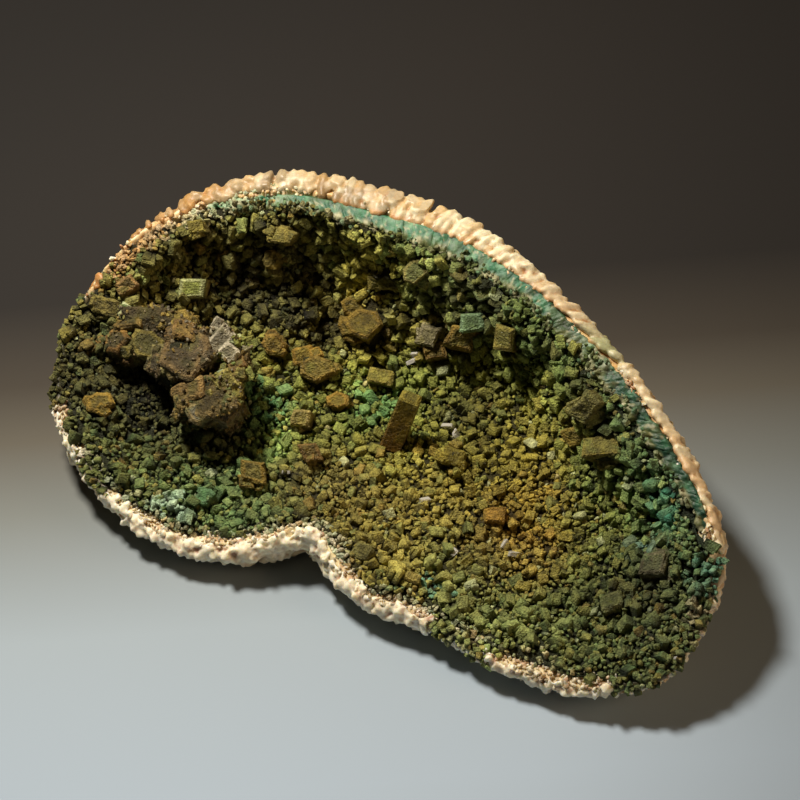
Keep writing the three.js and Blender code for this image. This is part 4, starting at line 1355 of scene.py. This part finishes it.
# The green band: the crust's own section on the broken edge. Sizes in mm.
bandSettings = dict(
    along=0.42, column=(3.0, 9.0), crack=0.3, crackDepth=0.25, jut=0.8, rise=0.3, width=0.92,
    # Shares of the band's width.
    across=(-0.10, 0.0, 0.06, 0.14, 0.24, 0.34, 0.44, 0.54, 0.64, 0.74, 0.84, 0.93, 1.0),
    green="#387250", deep="#1c4632", light="#74a078", pale="#aeab86", olive="#5f6234", pitShade="#14160c",
)


def makeBand(look):
    line = edgeCurve(look["along"])
    share = bandShare(np.arange(len(line)) / (len(line) / len(edgeLine)))
    chosen = np.flatnonzero(share > 0.02)
    chance = random.Random(61)
    borders = [0.0]
    while borders[-1] < len(chosen) * look["along"]:
        borders.append(borders[-1] + chance.uniform(*look["column"]))
    borders = np.array(borders)
    heights = [chance.uniform(-1, 1) for _ in borders]
    juts = [chance.uniform(-0.6, 1) for _ in borders]
    tilts = [chance.uniform(-1, 1) for _ in borders]
    rows = []
    for number, i in enumerate(chosen):
        u, v, rindWidth, crustWidth, inU, inV = line[i]
        place = number * look["along"]
        cell = np.searchsorted(borders, place) - 1 if place > 0 else 0
        fromCrack = min(abs(place - borders[cell]), abs(borders[min(cell + 1, len(borders) - 1)] - place))
        crack = math.exp(-(fromCrack / look["crack"]) ** 2)
        fade = float(share[i])
        start = rindWidth + bandShift(u)
        width = (crustWidth * look["width"] + juts[cell] * look["jut"]) * (0.35 + 0.65 * fade)
        rise = heights[cell] * look["rise"]
        ring = []
        for a in look["across"]:
            blunt = 1.2 if a < 0 else 0.9 * max(0, (a - 0.84) / 0.16) ** 2  # both edges of the band drop
            w = 0.1 + rise * min(1, max(0, a) * 3) + tilts[cell] * 0.3 * (a - 0.5)
            w -= blunt + crack * look["crackDepth"] * min(1, max(0, a) * 4 + 0.25) + (1 - fade) * 2.5
            ring.append((start + a * width - 0.2, w, a))
        for w, a in ((-1.8, 1.03), (-3.2, 1.02), (-4.8, 0.98), (-6.5, 0.9)):
            ring.append((start + a * width - 0.2 - crack * 0.5, w + rise - (1 - fade) * 2.0, 1.2))
        ring.append((start + 0.2 * width, -6.5, 1.3))
        rows.append([(u + inU * depth, v + inV * depth, w, a) for depth, w, a in ring])
    rows = np.array(rows)
    count, wide = rows.shape[:2]
    flat = rows.reshape(-1, 4)
    faces = [(i * wide + j, i * wide + (j + 1) % wide, (i + 1) * wide + (j + 1) % wide, (i + 1) * wide + j)
             for i in range(count - 1) for j in range(wide)]
    faces += [tuple(range(wide))[::-1], tuple((count - 1) * wide + j for j in range(wide))]
    mesh = closedMesh("greenBand", [tuple(fromMouth(*p[:3])) for p in flat], faces)
    across, coords = flat[:, 3], coordsOf(mesh)
    rough = softNoise(coords, 1.1, 51) - 0.5 + (softNoise(coords, 2.6, 52) - 0.5) * 1.4
    inner, right, left = ramp(across, 0.5, 1.0), ramp(flat[:, 0], 20, 90), ramp(-flat[:, 0], 73, 86)
    height = (0.45 + 1.3 * inner + 0.9 * right + 1.5 * left) * rough * mm
    setCoords(mesh, coords + normalsOf(mesh) * height[:, None])
    columns = [heights[max(0, np.searchsorted(borders, n * look["along"]) - 1)] for n in range(count)]
    storeAttribute(mesh, "tint", bandColours(look, flat, coords, rough, np.repeat(columns, wide)))
    lump = ramp(overgrown(flat), 0.3, 0.6)
    ragged = across + 0.9 * (softNoise(coords, 7, 56) - 0.5)
    growth = np.maximum(ramp(ragged, 0.55, 0.95), np.maximum(left, lump) * ramp(across, 0.0, 0.2))
    whole = np.repeat(ramp(share[chosen], 0.4, 0.8), wide)
    storeAttribute(mesh, "growth", growth * ramp(-across, -1.25, -1.15) * whole)
    dress(mesh, bandMaterial)
    return newObject("crustSection", mesh)


def bandColours(look, flat, coords, rough, columns):
    across, lump = flat[:, 3], overgrown(flat)
    inner, right, left = ramp(across, 0.5, 1.0), ramp(flat[:, 0], 20, 90), ramp(-flat[:, 0], 73, 86)
    mottle = mixColours(rindSettings["mint"], look["pale"], patchy(coords, 3.0, 60, 0.35, 0.65))
    tint = paint(
        look["green"],
        (look["light"], patchy(coords, 2.2, 53, 0.45, 0.85) * 0.9),
        (look["deep"], ramp(softNoise(coords, 3.4, 57) + 0.4 * right, 0.5, 0.8) * 0.9),
        (look["olive"], patchy(coords, 6, 58, 0.5, 0.8) * 0.5),
        (look["deep"], ramp(columns, 0.0, 1.0) * 0.4),
        (look["pale"], patchy(coords, 1.3, 59, 0.72, 0.85) * 0.7),
        (mottle, left * patchy(coords, 4.5, 62, 0.25, 0.55) * 0.9))
    fringe = ramp(across + 0.7 * (softNoise(coords, 3.0, 54) - 0.5), 0.55, 0.85)
    return paint(
        tint * (1 - 0.22 * right)[:, None],
        (mottle, lump * 0.9),
        (look["olive"], fringe * 0.85),
        (look["pale"], fringe * patchy(coords, 2.4, 55, 0.5, 0.7) * 0.9),
        # Painted shade: near black in the low places of the band's roughness.
        (look["pitShade"], ramp(-rough, 0.35, 0.7) * (0.4 + 0.6 * np.maximum(right, inner))),
        (look["olive"], ramp(across, 1.05, 1.2)))


def shadeOfFringe(mesh):
    seat, _, chance = seatsOf(mesh)
    tint = paint(stainAt(seat), (bandSettings["pale"], patchy(seat, 4, 72, 0.4, 0.7) * 0.8),
                 (bandSettings["light"], (chance > 0.7) * 0.6))
    storeAttribute(mesh, "tint", tint * (0.6 + 0.5 * again(chance, 7.7))[:, None])


bandPiece = makeBand(bandSettings)
print("green band:", len(bandPiece.data.polygons), "faces")
drusePieces.append(scatterDruse("crustFringe", bandPiece.data, druseMaterial, shadeOfFringe,
                                (readAttribute(bandPiece.data, "growth"), "fringe", chips)))
for group in (grains, tablets, stacks, chips):
    dropCollection(group)


# The clear crystals: u, v and w, width in mm, and turn in degrees.
clearCrystals = [
    (-37, -42, -16, 4, 20), (-13, 25, -43, 4.5, 50), (15, 2, -37, 5, 10), (19, 0, -37, 3.5, 70),
    (21, -34, -24, 5, 35), (10, -44, -18, 3.5, 15), (42, -51, -15, 3.5, 60), (65, -43, -19, 6, 25),
    (60, -41, -19, 4, 80), (-12, 28, -42, 3, 15),
]


def makeClear():
    shape = bmesh.new()
    for number, (u, v, w, width, turn) in enumerate(clearCrystals):
        block = tabletShape(400 + number, 0.5, number % 2)
        axis = turnMouth(0.3 * math.sin(number * 2.1), 0.3 * math.cos(number * 1.7), 1)
        stand = Vector((0, 0, 1)).rotation_difference(axis).to_matrix().to_4x4()
        spin = Matrix.Rotation(math.radians(turn), 4, "Z") @ Matrix.Rotation(0.7 * math.cos(number), 4, "X")
        size = Matrix.Diagonal((width * mm, width * 0.6 * mm, width * 0.9 * mm, 1))
        block.transform(Matrix.Translation(fromMouth(u, v, w)) @ stand @ spin @ size)
        shape.from_mesh(block)
        bpy.data.meshes.remove(block)
    # Clear heulandite: see-through, with a pearly face.
    material, tree = newMaterial("clear heulandite")
    surface = addNode(tree, "ShaderNodeBsdfPrincipled",
                      {"Base Color": hexColour("#f2efe2"), "Roughness": 0.12, "IOR": 1.5,
                       "Transmission Weight": 0.55})
    finish(tree, surface)
    return newObject("clearCrystals", meshOf(shape, "clearCrystals"), material)


clearPiece = makeClear()

# Every piece: its building attributes dropped, kept in the box, attached to the root body.
pieces = [rindPiece, rimPiece, groundPiece, crystalPiece, prismPiece, clusterPiece, bandPiece, clearPiece,
          *drusePieces, *crumbPieces]
for piece in pieces:
    dropAttributes(piece.data, "growth", "seat", "chance", "open", "size", "top")
    keepInBox(piece.data)
    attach(piece, "root")
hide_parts("chalcedony_rind")
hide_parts("heulandite_crust")
print("pieces done:", len(pieces))


# Floor, light and camera. Angles in degrees, lengths in metres.
studio = dict(
    azimuth=26.2, elevation=50.6, distance=1.1, roll=-2.7, lens=120.5,
    aim=(0.0008, 0.0066), target=(-0.0013, 0.0018, 0.035),
    key=dict(left=0.24, away=0.22, high=0.6, distance=0.68, size=0.13, power=7.4, colour="#fff5e6"),
    fill=dict(left=-0.9, away=-0.3, high=0.5, distance=1.5, size=0.8, power=5.0, colour="#ffd9ac"),
    ambient=0.03, sky="#d6c8b4",
    # The paper's painted light falloff: its colours from the front to the back, between these two distances.
    paper=[(0.0, "#abbccd"), (0.3, "#9dabb6"), (0.55, "#757a78"), (0.7, "#58544a"), (0.82, "#39332a"),
           (1.0, "#16110c")],
    paperFrom=-0.15, paperTo=0.11,
)
azimuth, elevation = math.radians(studio["azimuth"]), math.radians(studio["elevation"])
flatRight = Vector((math.cos(azimuth), math.sin(azimuth), 0))
flatAway = Vector((-math.sin(azimuth), math.cos(azimuth), 0))
toCamera = flatAway * -math.cos(elevation) + Vector((0, 0, math.sin(elevation)))
up = toCamera.cross(flatRight)
roll = math.radians(studio["roll"])
right, up = flatRight * math.cos(roll) + up * math.sin(roll), up * math.cos(roll) - flatRight * math.sin(roll)
camera = bpy.data.objects.new("camera", bpy.data.cameras.new("camera"))
scene.collection.objects.link(camera)
camera.data.lens, camera.data.sensor_width = studio["lens"], 36
camera.data.clip_end = 20
centre = Vector(studio["target"]) + right * studio["aim"][0] + up * studio["aim"][1]
turned = Matrix((right, up, toCamera)).transposed().to_4x4()
camera.matrix_world = Matrix.Translation(centre + toCamera * studio["distance"]) @ turned
scene.camera = camera


# Directions are as the camera sees the object.
def softLight(name, left, away, high, distance, size, power, colour):
    direction = (flatRight * -left + flatAway * away + Vector((0, 0, high))).normalized()
    data = bpy.data.lights.new(name, "AREA")
    data.shape, data.size, data.energy, data.color = "DISK", size, power, hexColour(colour)[:3]
    lamp = bpy.data.objects.new(name, data)
    lamp.location = Vector((0, 0, 0.04)) + direction * distance
    lamp.rotation_mode = "QUATERNION"
    lamp.rotation_quaternion = direction.to_track_quat("Z", "Y")
    scene.collection.objects.link(lamp)


softLight("key", **studio["key"])
softLight("fill", **studio["fill"])
world = bpy.data.worlds.new("studio")
world.use_nodes = True
background = world.node_tree.nodes["Background"]
background.inputs["Color"].default_value = hexColour(studio["sky"])
background.inputs["Strength"].default_value = studio["ambient"]
scene.world = world

# Background paper with painted light falloff: pale where the geode lies, darker towards the back and the
# right.
floorMesh = bpy.data.meshes.new("floor")
floorMesh.from_pydata([(-4, -4, 0), (4, -4, 0), (4, 4, 0), (-4, 4, 0)], [], [(0, 1, 2, 3)])
floorMaterial, tree = newMaterial("background paper with painted light falloff")
place = addNode(tree, "ShaderNodeTexCoord")
away, corner, aside = (
    addNode(tree, "ShaderNodeVectorMath", {"operation": "DOT_PRODUCT", 1: direction},
            {0: place.outputs["Object"]})
    for direction in (flatAway - flatRight * 0.04, flatAway * 0.8 - flatRight * 0.6, flatRight))
shade = addNode(tree, "ShaderNodeMapRange", {"From Min": studio["paperFrom"], "From Max": studio["paperTo"]},
                {"Value": away.outputs["Value"]})
paper = addNode(tree, "ShaderNodeValToRGB", {}, {"Fac": shade.outputs[0]})
while len(paper.color_ramp.elements) < len(studio["paper"]):
    paper.color_ramp.elements.new(0.5)
for element, (position, colour) in zip(paper.color_ramp.elements, studio["paper"]):
    element.position, element.color = position, hexColour(colour)
for distance, near, far, dim in ((aside, 0.03, 0.22, 0.7), (corner, 0.14, 0.34, 0.5)):
    paintedFalloff = addNode(tree, "ShaderNodeMapRange",
                     {"interpolation_type": "SMOOTHSTEP", "From Min": near, "From Max": far, "To Min": 1.0,
                      "To Max": dim}, {"Value": distance.outputs["Value"]})
    paper = addNode(tree, "ShaderNodeVectorMath", {"operation": "SCALE"},
                    {0: paper.outputs[0], "Scale": paintedFalloff.outputs[0]})
finish(tree, addNode(tree, "ShaderNodeBsdfPrincipled", {"Roughness": 0.85}, {"Base Color": paper.outputs[0]}))
newObject("floor", floorMesh, floorMaterial)
scene.view_settings.view_transform = "Standard"
